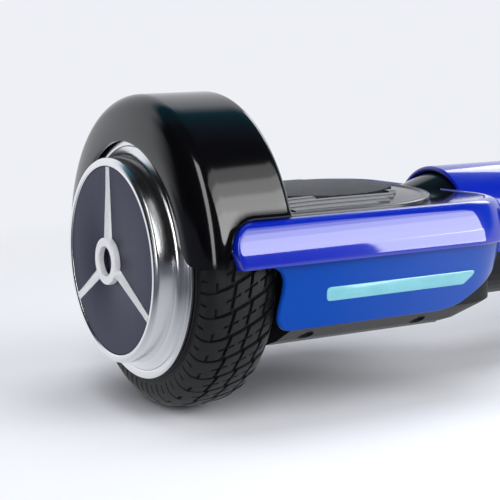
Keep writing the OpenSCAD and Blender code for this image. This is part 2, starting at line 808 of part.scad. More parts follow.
// Chassis

bolt_u = [body_out_u - wall - 8, body_out_u - wall - saddle_l + 6];
bolt_y = saddle_w / 2 - 7;
module at_bolts()
  for (u = bolt_u, y = [-bolt_y, bolt_y]) translate([u, y, 0]) children();

saddle_out_u = body_out_u - wall - gap;
hub_in_u = 20;
hub_out_u = neck_l + 22;
plate_y = half_w - 20;
plate_in_u = neck_l + tub_d + tub_wall + 1;
plate_r = 36;
rib_t = 4;
rib_rise = 9;
rail_h = 14;
rail_y = boss_y - boss_r - rib_t / 2 - 2;
module chassis_plan()
  polygon(concat(
    [[saddle_out_u, -plate_y], [saddle_out_u, plate_y]],
    arc([plate_in_u + plate_r, plate_y - plate_r], plate_r, plate_r, 90, 180),
    arc([plate_in_u + plate_r, plate_r - plate_y], plate_r, plate_r, 180, 270)));

module chassis(hub_bore, window)
  difference() {
    union() {
      translate([0, 0, plate_z]) linear_extrude(plate_t) chassis_plan();
      translate([saddle_out_u - saddle_l, -saddle_w / 2, axle_z - saddle_h])
        cube([saddle_l, saddle_w, saddle_h]);
      rod(hub_r, hub_in_u, hub_out_u);
      // Ribs from the hub out over the plate, and rails under it
      both_sides() translate([plate_in_u - 10, hub_r - rib_t, plate_z])
        cube([saddle_out_u - saddle_l - plate_in_u, rib_t, plate_t + rib_rise]);
      both_sides() translate([plate_in_u + 26, rail_y - rib_t / 2, plate_z - rail_h])
        cube([saddle_out_u - plate_in_u - 26, rib_t, rail_h + 1]);
      at_bosses(plate_top_z - 1) cylinder(r = boss_r, h = recess_z - recess_t - plate_top_z + 1);
    }
    rod(axle_r + run, saddle_out_u - saddle_l, saddle_out_u + 1);
    // Way out for the motor's leads
    rod(axle_r + 1, lead_end_u - 1, saddle_out_u - saddle_l + 0.01);
    rod(hub_bore, hub_in_u - 1, hub_out_u + 1);
    // Room for the tube's end and its ring
    rod(hub_r - 3, hub_out_u, tube_end_u + 8);
    if (window) stop_window();
    at_bolts() translate([0, 0, axle_z - saddle_h + 3]) cylinder(r = bolt_d / 2 + fit, h = 60);
    at_bosses(plate_z - 1) cylinder(r = screw_d / 2 + fit, h = 60);
  }

cap_h = 13;
module axle_cap()
  difference() {
    translate([saddle_out_u - saddle_l, -saddle_w / 2, plate_top_z]) cube([saddle_l, saddle_w, cap_h]);
    rod(axle_r + run, saddle_out_u - saddle_l - 1, saddle_out_u + 1);
    at_bolts() translate([0, 0, plate_top_z - 1]) cylinder(r = bolt_d / 2 + fit, h = 30);
    // Rounded shoulders
    both_sides() along_u(saddle_out_u - saddle_l - 1, saddle_out_u + 1)
      translate([-saddle_w / 2, plate_top_z + cap_h - 5]) difference() {
        translate([-1, 0]) square([6, 6]);
        translate([5, 0]) circle(r = 5);
      }
  }

module clamp_bolts()
  at_bolts() {
    translate([0, 0, axle_z - saddle_h + 4]) cylinder(r = bolt_d / 2, h = saddle_h + 1 + cap_h - 4);
    difference() {
      translate([0, 0, plate_top_z + cap_h]) cylinder(r = bolt_d * 0.8, h = bolt_d * 0.8);
      translate([0, 0, plate_top_z + cap_h + bolt_d * 0.4]) cylinder(r = bolt_d * 0.5, h = bolt_d, $fn = 6);
    }
  }

screw_head_z = boss_z + screw_d;
screw_head_h = screw_d * 0.65;
module screws() {
  clamp_bolts();
  deck_screws();
  at_bosses(0) {
    translate([0, 0, screw_head_z - screw_head_h]) cylinder(r = screw_d * 0.95, h = screw_head_h);
    translate([0, 0, screw_head_z]) cylinder(r = screw_d / 2, h = plate_top_z - screw_head_z);
  }
}

// Electronics

module lamp_lens() lamp_strip(0, lamp_t);

board_t = 1.6;
module lamp_board() {
  low_d = panel_at(lamp_low_z) + lamp_t + gap;
  top_d = panel_at(lamp_top_z) + lamp_t + gap;
  intersection() {
    swept_side(lamp_out_u - 4) polygon([
      [low_d, lamp_low_z - 1], [top_d, lamp_top_z + 1],
      [top_d + board_t, lamp_top_z + 1], [low_d + board_t, lamp_low_z - 1]]);
    across(-half_w, 0) translate([corner_u + 4, 0]) square([lamp_l - 8, 2 * axle_z]);
  }
}

board_z = plate_top_z + rib_rise + gap;
board_edge = [8, 10]; // from the switches to the board's edges
chip = [12, 12, 1.4];
module sensor_board() {
  translate([post_u[0] - board_edge[0], -post_y - board_edge[1], board_z])
    cube([saddle_out_u - saddle_l - post_u[0] + board_edge[0] / 2, 2 * (post_y + board_edge[1]), board_t]);
  translate([post_u[0] + chip[0], -chip[1] / 2, board_z + board_t]) cube(chip);
  pad_switches();
}

// Switches that the pad's posts press
head_z = recess_z - recess_t - gap - post_head;
switch_w = 12;
stem_r = 3.5;
stem_h = 1;
module pad_switches()
  for (y = [-post_y, post_y]) translate([post_u[0], y, board_z + board_t]) {
    h = head_z - pad_travel - gap - board_z - board_t;
    translate([-switch_w / 2, -switch_w / 2, 0]) cube([switch_w, switch_w, h - stem_h]);
    cylinder(r = stem_r, h = h);
  }

// Leads out of the hollow axle, and their plug on the chassis plate
lead_r = axle_r * 0.36;
lead_l = 14;
lead_end_u = axle_in_u - lead_l;
lead_plug = [13, 14, 6];
module motor_leads() {
  rod(lead_r, lead_end_u, tyre_in_u + bearing_w);
  translate([lead_end_u - lead_plug[0] + 1, -lead_plug[1] / 2, plate_top_z]) cube(lead_plug);
}

// Plate on the tub's floor with a bar on each side that carries the main board
sink_edge = 6; // from the plate to the chassis saddle's outer end
sink_u = saddle_out_u - sink_edge - sink_l;
sink_w = 2 * (half_w - belly_d - 1);
sink_bar = [12, 6]; // width and height of the bars
module heat_sink() {
  translate([sink_u, -sink_w / 2, floor_z]) cube([sink_l, sink_w, sink_t]);
  both_sides() translate([sink_u, sink_w / 2 - sink_bar[0], floor_z])
    cube([sink_l, sink_bar[0], sink_t + sink_bar[1]]);
}

capacitor_r = 6;
capacitor_h = 14;
socket_box = [10, 8, 7];
transistor = [8, 5, 9];
module main_board() {
  z = floor_z + sink_t + sink_bar[1];
  top = z + board_t;
  translate([sink_u + 2, -sink_w / 2 + 2, z]) cube([sink_l - 4, sink_w - 4, board_t]);
  for (i = [0:2]) translate([sink_u + (2.3 + i * 2.7) * capacitor_r, sink_w * 0.22, top])
    cylinder(r = capacitor_r, h = capacitor_h);
  for (i = [0:3]) translate([sink_u + (1 + i * 1.4) * socket_box[0], -sink_w * 0.1, top]) cube(socket_box);
  for (i = [0:5], y = [-sink_w / 2 + transistor[1], sink_w / 2 - 2 * transistor[1]])
    translate([sink_u + (0.75 + i * 1.44) * transistor[0], y, top]) cube(transistor);
}

// Two layers of cells, the upper one in the hollows of the lower
battery_z = cell_z + sleeve_t;
rail_in_y = rail_y - rib_t / 2;
// As many cells in each layer as fit between the chassis rails
cell_count = floor(2 * (rail_in_y - sleeve_t - fit - 1) / cell_pitch - 0.5);
module cell_rows(r)
  for (layer = [0, 1], i = [0:cell_count - 1])
    translate([(i - (cell_count - 1) / 2 + layer / 2 - 0.25) * cell_pitch,
               battery_z + cell_d / 2 + layer * cell_rise])
      circle(r = r);

module battery_cells() along_u(cell_u, cell_u + cell_l) cell_rows(cell_d / 2);

battery_w = (cell_count + 0.5) * cell_pitch + 2 * sleeve_t;
module battery_sleeve() {
  w = battery_w + 2 * fit;
  h = plate_z - cell_z;
  difference() {
    along_u(cell_u - sleeve_t - fit, cell_u + cell_l + sleeve_t + fit)
      translate([-w / 2, cell_z]) square([w, h]);
    along_u(cell_u - fit, cell_u + cell_l + fit)
      translate([-w / 2 + sleeve_t, battery_z - fit]) square([w - 2 * sleeve_t, h - 2 * sleeve_t + fit * 2]);
  }
}

// Pivot

tube_end_u = hub_out_u + 8;
module pivot_tube()
  difference() {
    rod(tube_r, -tube_end_u, tube_end_u);
    rod(tube_r - tube_wall, -tube_end_u - 1, tube_end_u + 1);
    translate([stop_u, 0, axle_z]) cylinder(r = stop_d / 2 + fit, h = hub_r);
  }

bush_l = 14;
module pivot_bushes()
  for (u = [hub_in_u, hub_out_u - bush_l]) difference() {
    rod(bush_r, u, u + bush_l);
    rod(tube_r + run, u - 1, u + bush_l + 1);
  }

ring_t = 4;
module retaining_rings()
  for (s = [-1, 1]) mirror([s > 0 ? 0 : 1, 0, 0]) difference() {
    rod(hub_r - 4, hub_out_u + gap, hub_out_u + gap + ring_t);
    rod(tube_r + fit, hub_out_u, hub_out_u + ring_t + 1);
    translate([hub_out_u, -1, axle_z]) cube([ring_t + 2, 2, hub_r]);
  }

// The pin stands on the tube and runs in a window of the hub it limits
stop_u = (hub_in_u + hub_out_u) / 2;
module stop_pin()
  translate([stop_u, 0, axle_z]) difference() {
    cylinder(r = stop_d / 2, h = hub_r - 1);
    rotate([0, 90, 0]) cylinder(r = tube_r - tube_wall, h = 2 * stop_d, center = true);
  }

module stop_window() {
  a = twist + asin((stop_d / 2 + gap) / tube_r);
  translate([stop_u - stop_d / 2 - gap, 0, axle_z]) rotate([-a, 0, 0]) rotate([0, 90, 0]) rotate([0, 0, 180])
    rotate_extrude(angle = 2 * a) square([hub_r + 1, stop_d + 2 * gap]);
}

module neck_seal()
  difference() {
    rod(neck_in_r - 1, -neck_gap / 2 - 3, neck_gap / 2 + 3);
    rod(tube_r + fit, -neck_gap / 2 - 4, neck_gap / 2 + 4);
    difference() {
      rod(neck_r, -neck_gap / 2 - 4, neck_gap / 2 + 4);
      rod(neck_in_r - 4, -neck_gap / 2 - 5, neck_gap / 2 + 5);
      rod(neck_r, -neck_gap / 2 + gap, neck_gap / 2 - gap);
    }
  }

// Cable between the halves, held by a grommet in each end of the tube
module link_cable() {
  rod(5, -tube_end_u - 5, tube_end_u + 5);
  for (u = [-tube_end_u, tube_end_u - 8]) rod(tube_r - tube_wall - fit, u, u + 8);
}

// Power button and charging socket, on the rear panel of one half

face_y = half_w - panel_at(service_z);
module service_holes() {
  cross_rod(collar_d / 2 + fit, socket_u, service_z, face_y - 12, half_w + 5);
  cross_rod(button_d / 2 + gap, button_u, service_z, face_y - 12, half_w + 5);
}

module charge_socket()
  difference() {
    union() {
      cross_rod(collar_d / 2, socket_u, service_z, face_y - wall - 8, face_y + 1);
      cross_rod(collar_d / 2 + 2, socket_u, service_z, face_y - wall - 4, face_y - wall - 1.6);
    }
    cross_rod(socket_d / 2, socket_u, service_z, face_y - 8, face_y + 2);
    // Three contacts in its floor
    for (i = [0:2]) translate([socket_u, 0, service_z]) rotate([0, i * 120, 0])
      cross_rod(1, 0, socket_d / 4, face_y - 10, face_y - 5);
  }

// Rubber flap that hangs from two lugs above the socket
flap_t = 2.4;
flap_y = face_y + 1 + gap;
flap_pin_r = 0.9;
flap_pin_y = flap_y + flap_t / 2;
flap_pin_z = service_z + collar_d / 2 + 3;
lug_w = 3;
lug_u = 4 + gap;
module flap_pin(r, half)
  translate([socket_u - half, flap_pin_y, flap_pin_z]) rotate([0, 90, 0]) cylinder(r = r, h = 2 * half);

module socket_flap() {
  cross_rod(collar_d / 2, socket_u, service_z, flap_y, flap_y + flap_t);
  translate([socket_u - 4, flap_y, service_z]) cube([8, flap_t, flap_pin_z - service_z]);
  flap_pin(flap_t / 2, 4);
  flap_pin(flap_pin_r, lug_u + lug_w);
}

module flap_lugs()
  difference() {
    for (u = [lug_u, -lug_u - lug_w])
      translate([socket_u + u, face_y - wall / 2, flap_pin_z - 2])
        cube([lug_w, flap_pin_y + 2 - face_y + wall / 2, 4]);
    flap_pin(flap_pin_r + run, lug_u + lug_w + 1);
  }

module power_button() {
  cross_rod(button_d / 2, button_u, service_z, face_y - wall - 3, face_y + button_travel + 0.6);
  cross_rod(button_d / 2 + 1.6, button_u, service_z, face_y - wall - 3, face_y - wall - 1.4);
}

// Switch behind the button, on a bracket under the chassis plate
button_box = [10, 7, 10];
module button_switch() {
  y = face_y - wall - 3 - button_travel - gap;
  back_y = min(y - button_box[1], plate_y - button_box[0] / 2);
  translate([button_u - button_box[0] / 2, y - button_box[1], service_z - button_box[2] / 2])
    cube(button_box);
  translate([button_u - button_box[0] / 2, back_y, service_z + 3])
    cube([button_box[0], y - back_y, plate_z - service_z - 3]);
}

// The board

module left() mirror([1, 0, 0]) children();

left() color("mediumblue") upper_shell(false);  // left_upper_shell
left() color("dimgray") lower_shell();  // left_lower_shell
left() color("black") deck_plate();  // left_deck_plate
left() color("darkslategray") foot_pad();  // left_foot_pad
left() color("black") fender();  // left_fender
left() color("paleturquoise") lamp_lens();  // left_lamp_lens
left() color("darkgreen") lamp_board();  // left_lamp_board
left() color("silver") chassis(tube_r + fit, false);  // left_chassis
left() color("silver") axle_cap();  // left_axle_cap
left() color("gray") screws();  // left_screws
left() color("gray") axle();  // left_axle
left() color("gray") stator_core();  // left_stator_core
left() color("peru") windings();  // left_stator_windings
left() color("black") motor_leads();  // left_motor_leads
left() color("darkgreen") sensor_board();  // left_sensor_board
left() color("darkslategray") tyre();  // left_tyre
left() color("silver") rim();  // left_rim
left() color("silver") outer_cover();  // left_outer_cover
left() color("silver") inner_cover();  // left_inner_cover
left() color("dimgray") wheel_disc();  // left_wheel_disc
left() color("silver") spokes();  // left_spokes
left() color("silver") bearings();  // left_bearings
left() color("gray") magnets();  // left_magnets
left() color("silver") heat_sink();
left() color("darkgreen") main_board();

color("mediumblue") upper_shell(true);  // right_upper_shell
color("dimgray") lower_shell();  // right_lower_shell
color("black") deck_plate();  // right_deck_plate
color("darkslategray") foot_pad();  // right_foot_pad
color("black") fender();  // right_fender
color("paleturquoise") lamp_lens();  // right_lamp_lens
color("darkgreen") lamp_board();  // right_lamp_board
color("silver") chassis(bush_r + fit, true);  // right_chassis
color("silver") axle_cap();  // right_axle_cap
color("gray") screws();  // right_screws
color("gray") axle();  // right_axle
color("gray") stator_core();  // right_stator_core
color("peru") windings();  // right_stator_windings
color("black") motor_leads();  // right_motor_leads
color("darkgreen") sensor_board();  // right_sensor_board
color("darkslategray") tyre();  // right_tyre
color("silver") rim();  // right_rim
color("silver") outer_cover();  // right_outer_cover
color("silver") inner_cover();  // right_inner_cover
color("dimgray") wheel_disc();  // right_wheel_disc
color("silver") spokes();  // right_spokes
color("silver") bearings();  // right_bearings
color("gray") magnets();  // right_magnets

color("seagreen") battery_cells();
color("royalblue") battery_sleeve();
color("gray") pivot_tube();
color("goldenrod") pivot_bushes();
color("gray") retaining_rings();
color("gray") stop_pin();
color("black") neck_seal();
color("black") link_cable();
color("black") charge_socket();
color("black") socket_flap();
color("silver") power_button();
color("black") button_switch();
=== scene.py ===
import json
from math import asin, cos, hypot, pi, radians, sin, sqrt, tan

import bmesh
import bpy
from mathutils import Matrix, Vector


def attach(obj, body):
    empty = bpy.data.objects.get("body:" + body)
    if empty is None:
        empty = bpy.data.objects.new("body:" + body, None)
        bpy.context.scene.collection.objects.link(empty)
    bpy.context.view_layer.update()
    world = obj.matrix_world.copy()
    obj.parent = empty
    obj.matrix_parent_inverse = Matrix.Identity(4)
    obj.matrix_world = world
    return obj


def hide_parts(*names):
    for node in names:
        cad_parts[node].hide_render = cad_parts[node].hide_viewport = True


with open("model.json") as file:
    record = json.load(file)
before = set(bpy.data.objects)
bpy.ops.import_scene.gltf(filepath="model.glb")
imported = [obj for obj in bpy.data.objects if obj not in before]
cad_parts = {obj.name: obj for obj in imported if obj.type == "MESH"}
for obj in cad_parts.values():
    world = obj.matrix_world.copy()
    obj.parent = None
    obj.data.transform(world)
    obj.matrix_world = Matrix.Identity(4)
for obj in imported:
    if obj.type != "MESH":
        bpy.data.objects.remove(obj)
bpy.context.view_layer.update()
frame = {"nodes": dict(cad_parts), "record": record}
nodes = frame["nodes"]
print("frame loaded:", len(nodes), "nodes")

mm = 0.001
axleZ = frame["record"]["behaviour"]["joints"][0]["pos_m"][2] / mm  # height of the wheels' line, in mm


# Colours are written as they look on a screen, 0 to 255
def paint(red, green, blue):
    def linear(part):
        part /= 255
        return part / 12.92 if part <= 0.04045 else ((part + 0.055) / 1.055) ** 2.4
    return (linear(red), linear(green), linear(blue), 1.0)


class Value:  # a socket whose sums, products and powers become Math nodes
    def __init__(self, finish, socket):
        self.finish, self.socket = finish, socket

    def math(self, operation, first, second=0.0):
        return self.finish.node("Math", {0: first, 1: second}, {"operation": operation})

    def __add__(self, other):
        return self.math("ADD", self, other)

    def __sub__(self, other):
        return self.math("SUBTRACT", self, other)

    def __rsub__(self, other):
        return self.math("SUBTRACT", other, self)

    def __mul__(self, other):
        return self.math("MULTIPLY", self, other)

    def __pow__(self, other):
        return self.math("POWER", self, other)


def newNode(tree, kind, sockets, settings):  # sockets are linked to other sockets or given values
    made = tree.nodes.new(kind)
    for key, value in (settings or {}).items():
        setattr(made, key, value)
    for key, value in (sockets or {}).items():
        if isinstance(value, Value):
            value = value.socket
        if isinstance(value, bpy.types.NodeSocket):
            tree.links.new(value, made.inputs[key])
        else:
            made.inputs[key].default_value = value
    return made


class Finish:  # one material and the nodes that make it
    def __init__(self, name, world=None):
        self.material = world or bpy.data.materials.new(name)
        self.material.use_nodes = True
        self.tree = self.material.node_tree
        self.tree.nodes.clear()
        self.place = None if world else self.node("TexCoord", out="Object")

    def node(self, kind, sockets=None, settings=None, out=0):
        made = newNode(self.tree, "ShaderNode" + kind, sockets, settings)
        return Value(self, made.outputs[out]) if len(made.outputs) else made

    def stretched(self, scale):  # Object coordinates, multiplied along each axis
        return self.node("Mapping", {"Vector": self.place, "Scale": scale})

    def noise(self, scale, detail=3.0, roughness=0.5, place=None):
        return self.node("TexNoise",
                         {"Vector": place or self.place, "Scale": scale, "Detail": detail,
                          "Roughness": roughness})

    def spread(self, value, low, high, toLow=0.0, toHigh=1.0):  # one range of values onto another
        return self.node("MapRange",
                         {0: value, 1: low, 2: high, 3: toLow, 4: toHigh})

    def mix(self, amount, first, second):
        return self.node("Mix", {0: amount, 6: first, 7: second}, {"data_type": "RGBA"}, out=2)

    def parts(self, place=None):  # x, y and z of a place
        split = self.node("SeparateXYZ", {0: place or self.place})
        return [Value(self, split.socket.node.outputs[i]) for i in range(3)]

    def roundAxle(self):  # distance from the wheels' line, and place along it
        x, y, z = self.parts()
        drop = z - axleZ * mm
        return (y * y + drop * drop) ** 0.5, x

    def bump(self, height, strength, distance):
        return self.node("Bump", {"Height": height, "Strength": strength, "Distance": distance})

    def surface(self, **sockets):  # the shader itself; underscores stand for spaces
        named = {key.replace("_", " "): value for key, value in sockets.items()}
        shader = self.node("BsdfPrincipled", named)
        self.node("OutputMaterial", {"Surface": shader})
        return self.material


noiseRange = (0.3, 0.7)  # most of a noise's values lie between these
bluePaint = {  # heights and places in metres
    "deep": paint(0, 27, 158), "light": paint(0, 35, 170),
    # the panels' two blues are painted light: a lighter, greener copy of the bar's blue, for how the light
    # falls on the side panels
    "paintedLightPanelDeep": paint(0, 60, 150), "paintedLightPanelPale": paint(0, 68, 162),
    "creaseZ": 0.0850, "creaseBlend": 0.0004, "sideY": 0.055, "sideBlend": 0.008,
    "outU": 0.21, "inU": 0.10, "neckCoat": 0.6,  # the panel's coat grows from none to this towards the neck
    "driftSize": 14, "roughSize": 60, "rough": (0.28, 0.36),
    "peelSize": 700, "peel": 0.04, "peelDepth": 0.0002,
}


# High gloss on top, with the panels under the side bars in a satin that turns glossier towards the neck; the
# panels also get a lighter, greener blue than the bar, which is painted light on the one blue shell
def blueShell():
    s = bluePaint
    f = Finish("blueShell")
    x, y, z = f.parts()
    u = x.math("ABSOLUTE", x)
    side = f.spread(y.math("ABSOLUTE", y), s["sideY"], s["sideY"] + s["sideBlend"])
    panel = side * f.spread(z, s["creaseZ"] + s["creaseBlend"], s["creaseZ"] - s["creaseBlend"])
    panelCoat = f.spread(u, s["outU"], s["inU"], 0.0, s["neckCoat"])
    drift = f.noise(s["driftSize"], 2)
    peel = f.noise(s["peelSize"], 2)
    bar = f.mix(drift, s["deep"], s["light"])
    return f.surface(
        # the panel mask swaps in the painted light blues on the side panels
        Base_Color=f.mix(panel, bar, f.mix(drift, s["paintedLightPanelDeep"], s["paintedLightPanelPale"])),
        Roughness=f.spread(f.noise(s["roughSize"], 4), *noiseRange, *s["rough"]), Specular_IOR_Level=0.12,
        Normal=f.bump(peel, s["peel"], s["peelDepth"]),
        Coat_Weight=panel * panelCoat + (1 - panel), Coat_Roughness=0.05, Coat_IOR=1.75)


grainSet = {
    "detail": 3, "rough": 0.6, "driftSize": 22, "mouldedBump": 0.35, "metalBump": 0.3, "brushLength": 60,
}


def moulded(name, dark, light, low, high, grain, depth, ior=1.5):  # plain moulded plastic or rubber
    s = grainSet
    f = Finish(name)
    fine = f.noise(grain, s["detail"], s["rough"])
    drift = f.noise(s["driftSize"], s["detail"])
    return f.surface(
        Base_Color=f.mix(drift, dark, light),
        Roughness=f.spread(fine, *noiseRange, low, high),
        Normal=f.bump(fine, s["mouldedBump"], depth), IOR=ior)


def metal(name, dark, light, low, high, grain, depth, way=None, metallic=1.0):
    s = grainSet
    f = Finish(name)
    if way == "round":  # turning marks run round the axle
        radius, along = f.roundAxle()
        ring = f.node("CombineXYZ", {0: radius, 1: along})
        fine = f.noise(grain, s["detail"] + 1, s["rough"], ring)
    elif way == "upright":  # brushed from top to bottom
        brushed = f.stretched((0, grain, grain / s["brushLength"]))
        fine = f.noise(1, s["detail"], s["rough"], brushed)
    else:
        fine = f.noise(grain, s["detail"], s["rough"])
    return f.surface(
        Base_Color=f.mix(fine, dark, light), Metallic=metallic,
        Roughness=f.spread(fine, *noiseRange, low, high),
        Normal=f.bump(fine, s["metalBump"], depth))


def lampLens():
    f = Finish("lampLens")
    cloud = f.noise(120, 3)
    return f.surface(
        Base_Color=f.mix(cloud, paint(102, 172, 184), paint(124, 188, 198)),
        Roughness=f.spread(cloud, *noiseRange, 0.18, 0.26),
        Emission_Color=paint(120, 205, 220), Emission_Strength=0.05, Coat_Weight=0.5, Coat_Roughness=0.08)


def circuitBoard():
    f = Finish("circuitBoard")
    tracks = f.node("TexBrick",
                    {"Vector": f.stretched((1, 1, 0)), "Scale": 220, "Mortar Size": 0.03,
                     "Color1": paint(18, 74, 44), "Color2": paint(22, 84, 50), "Mortar": paint(36, 112, 68)},
                    {"offset": 0.5})
    return f.surface(Base_Color=tracks, Roughness=f.spread(f.noise(300), *noiseRange, 0.3, 0.45))


# Dark and light colour, lowest and highest roughness, grain per metre, depth of the grain in metres, and
# for some plastics the IOR
plastics = {
    "black_shell": ((12, 12, 15), (18, 18, 22), 0.42, 0.55, 2600, 0.00008, 1.3),
    "gloss_black": ((9, 11, 14), (13, 16, 20), 0.05, 0.09, 700, 0.00001),
    "satin_black": ((6, 6, 8), (9, 9, 12), 0.09, 0.13, 3200, 0.000003, 1.6),
    "cable_rubber": ((22, 22, 24), (32, 32, 35), 0.5, 0.62, 1500, 0.00003),
    "tyre": ((15, 16, 19), (24, 25, 29), 0.5, 0.66, 1700, 0.00006),
    "pad_rubber": ((40, 43, 50), (50, 54, 62), 0.18, 0.27, 2000, 0.00001),
    "seal_rubber": ((24, 25, 27), (33, 34, 37), 0.55, 0.7, 1500, 0.00004),
    "cell_can": ((36, 110, 74), (44, 124, 86), 0.25, 0.36, 400, 0.00002),
    "sleeve_film": ((28, 58, 128), (38, 72, 146), 0.16, 0.28, 90, 0.0004),
    "button_grey": ((118, 121, 126), (136, 139, 144), 0.34, 0.45, 1800, 0.00003),
}
# The same, then for some metals the way of the grain and how metallic they are
metals = {
    "cast_aluminium": ((150, 152, 156), (182, 184, 188), 0.42, 0.58, 900, 0.0001),
    "polished_aluminium": ((240, 241, 244), (254, 254, 255), 0.16, 0.28, 1500, 0.000004, "round"),
    "bright_spokes": ((246, 247, 250), (254, 254, 255), 0.38, 0.46, 500, 0.000002, None, 0.3),
    "dark_disc": ((66, 68, 87), (90, 92, 113), 0.40, 0.52, 1600, 0.00002, "upright"),
    "steel": ((150, 152, 156), (186, 188, 192), 0.22, 0.36, 700, 0.00002),
    "core_steel": ((92, 93, 98), (120, 121, 126), 0.34, 0.5, 1400, 0.00003),
    "copper": ((178, 96, 52), (208, 126, 76), 0.22, 0.36, 1600, 0.00005),
    "bush_bronze": ((150, 112, 62), (182, 142, 86), 0.32, 0.46, 800, 0.00003),
}


def camelName(slot):
    first, *rest = slot.split("_")
    return first + "".join(word.title() for word in rest)


finishes = {"blue_shell": blueShell(), "lamp_lens": lampLens(), "circuit_board": circuitBoard()}
for make, table in ((moulded, plastics), (metal, metals)):
    for slot, (dark, light, *values) in table.items():
        finishes[slot] = make(camelName(slot), paint(*dark), paint(*light), *values)
slotOf = {name: o.data.materials[0].name for name, o in nodes.items()}
for name, o in nodes.items():
    for slot in o.material_slots:
        slot.material = finishes[slotOf[name]]
print("finishes:", len(finishes))

# Meshes are drawn for one half in mm, as (u, y, z) with u counted out from the middle of the board
halves = {"left": -1, "right": 1}
seamGap = 2e-6  # points closer than this, in metres, are one


def shade(mesh, sharpAngle):  # smooth, apart from edges sharper than this many degrees
    mesh.shade_smooth()
    mesh.set_sharp_from_angle(angle=radians(sharpAngle))


def tidyMesh(mesh, sharpAngle):
    work = bmesh.new()
    work.from_mesh(mesh)
    bmesh.ops.remove_doubles(work, verts=work.verts, dist=seamGap)
    bmesh.ops.dissolve_degenerate(work, edges=work.edges, dist=seamGap)
    bmesh.ops.recalc_face_normals(work, faces=work.faces)
    work.to_mesh(mesh)
    work.free()
    shade(mesh, sharpAngle)


def link(name, data):  # a new object in the scene
    made = bpy.data.objects.new(name, data)
    bpy.context.collection.objects.link(made)
    return made


def addPiece(name, half, points, faces, slot, sharpAngle=40):
    mesh = bpy.data.meshes.new(half + name)
    mesh.from_pydata([(halves[half] * u * mm, y * mm, z * mm) for u, y, z in points], [], faces)
    tidyMesh(mesh, sharpAngle)
    mesh.materials.append(finishes[slot])
    return link(half + name, mesh)


def mount(piece, body, slot, *replaced):
    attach(piece, body)
    if replaced:
        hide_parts(*replaced)


# Faces of a net of points, row by row, closed round on itself where asked
def net(rows, columns, roundRows=False, roundColumns=False, start=0):
    faces = []
    for i in range(rows if roundRows else rows - 1):
        for j in range(columns if roundColumns else columns - 1):
            a, b = i * columns, (i + 1) % rows * columns
            c, d = j, (j + 1) % columns
            faces.append((start + a + c, start + a + d, start + b + d, start + b + c))
    return faces


def capped(rows, columns, start=0):  # a tube of rows of points with both its ends closed
    first = tuple(range(start, start + columns))
    last = tuple(range(start + (rows - 1) * columns, start + rows * columns))
    return net(rows, columns, False, True, start) + [first, last]


def roundCorners(points, radius, steps=4):  # a closed outline with its corners taken off by curves
    made = []
    for i, point in enumerate(points):
        here = Vector(point)
        before, after = Vector(points[i - 1]) - here, Vector(points[(i + 1) % len(points)]) - here
        bend = before.angle(after)
        if bend > radians(172):  # nearly straight, so left as it is
            made.append(tuple(here))
            continue
        most = 0.45 * min(before.length, after.length)  # so that neighbouring curves don't meet
        reach = min(radius / tan(bend / 2), most)
        first, last = here + before.normalized() * reach, here + after.normalized() * reach
        for k in range(steps + 1):
            t = k / steps
            made.append(tuple(first * (1 - t) ** 2 + here * 2 * t * (1 - t) + last * t ** 2))
    return made


def turned(profile, steps):  # an outline of (radius, u) turned round the axle
    points = []
    for i in range(steps):
        a = 2 * pi * i / steps
        points += [(u, r * sin(a), axleZ + r * cos(a)) for r, u in profile]
    return points, net(steps, len(profile), True, True)


def applyModifiers(piece):
    solved = piece.evaluated_get(bpy.context.evaluated_depsgraph_get())
    mesh = bpy.data.meshes.new_from_object(solved)
    piece.modifiers.clear()
    piece.data = mesh


class Tree:  # a Geometry Nodes tree with named inputs
    def __init__(self, name, sizes):
        self.group = bpy.data.node_groups.new(name, "GeometryNodeTree")
        face = self.group.interface
        face.new_socket("Geometry", in_out="INPUT", socket_type="NodeSocketGeometry")
        face.new_socket("Geometry", in_out="OUTPUT", socket_type="NodeSocketGeometry")
        self.sizes = sizes
        for key, value in sizes.items():
            kind = "NodeSocketInt" if isinstance(value, int) else "NodeSocketFloat"
            face.new_socket(key, in_out="INPUT", socket_type=kind)
        self.start = self.group.nodes.new("NodeGroupInput")

    def given(self, name):
        return self.start.outputs[name]

    def node(self, kind, sockets=None, settings=None, out=0):
        return newNode(self.group, "GeometryNode" + kind, sockets, settings).outputs[out]

    def maths(self, operation, first, second=0.0):
        sockets = {0: first, 1: second}
        return newNode(self.group, "ShaderNodeMath", sockets, {"operation": operation}).outputs[0]

    def vector(self, x=0.0, y=0.0, z=0.0):
        return newNode(self.group, "ShaderNodeCombineXYZ", {0: x, 1: y, 2: z}, {}).outputs[0]

    def finish(self, instances, slot, join=0.0):  # realize, merge touching seams, give the finish
        real = self.node("RealizeInstances", {0: instances})
        if join:
            real = self.node("MergeByDistance", {"Geometry": real, "Distance": join})
        real = self.node("SetMaterial", {"Geometry": real, "Material": finishes[slot]})
        end = self.group.nodes.new("NodeGroupOutput")
        self.group.links.new(real, end.inputs[0])

    def run(self, piece):
        modifier = piece.modifiers.new("repeat", "NODES")
        modifier.node_group = self.group
        for item in self.group.interface.items_tree:
            if item.in_out == "INPUT" and item.name in self.sizes:
                modifier[item.identifier] = self.sizes[item.name]
        applyModifiers(piece)


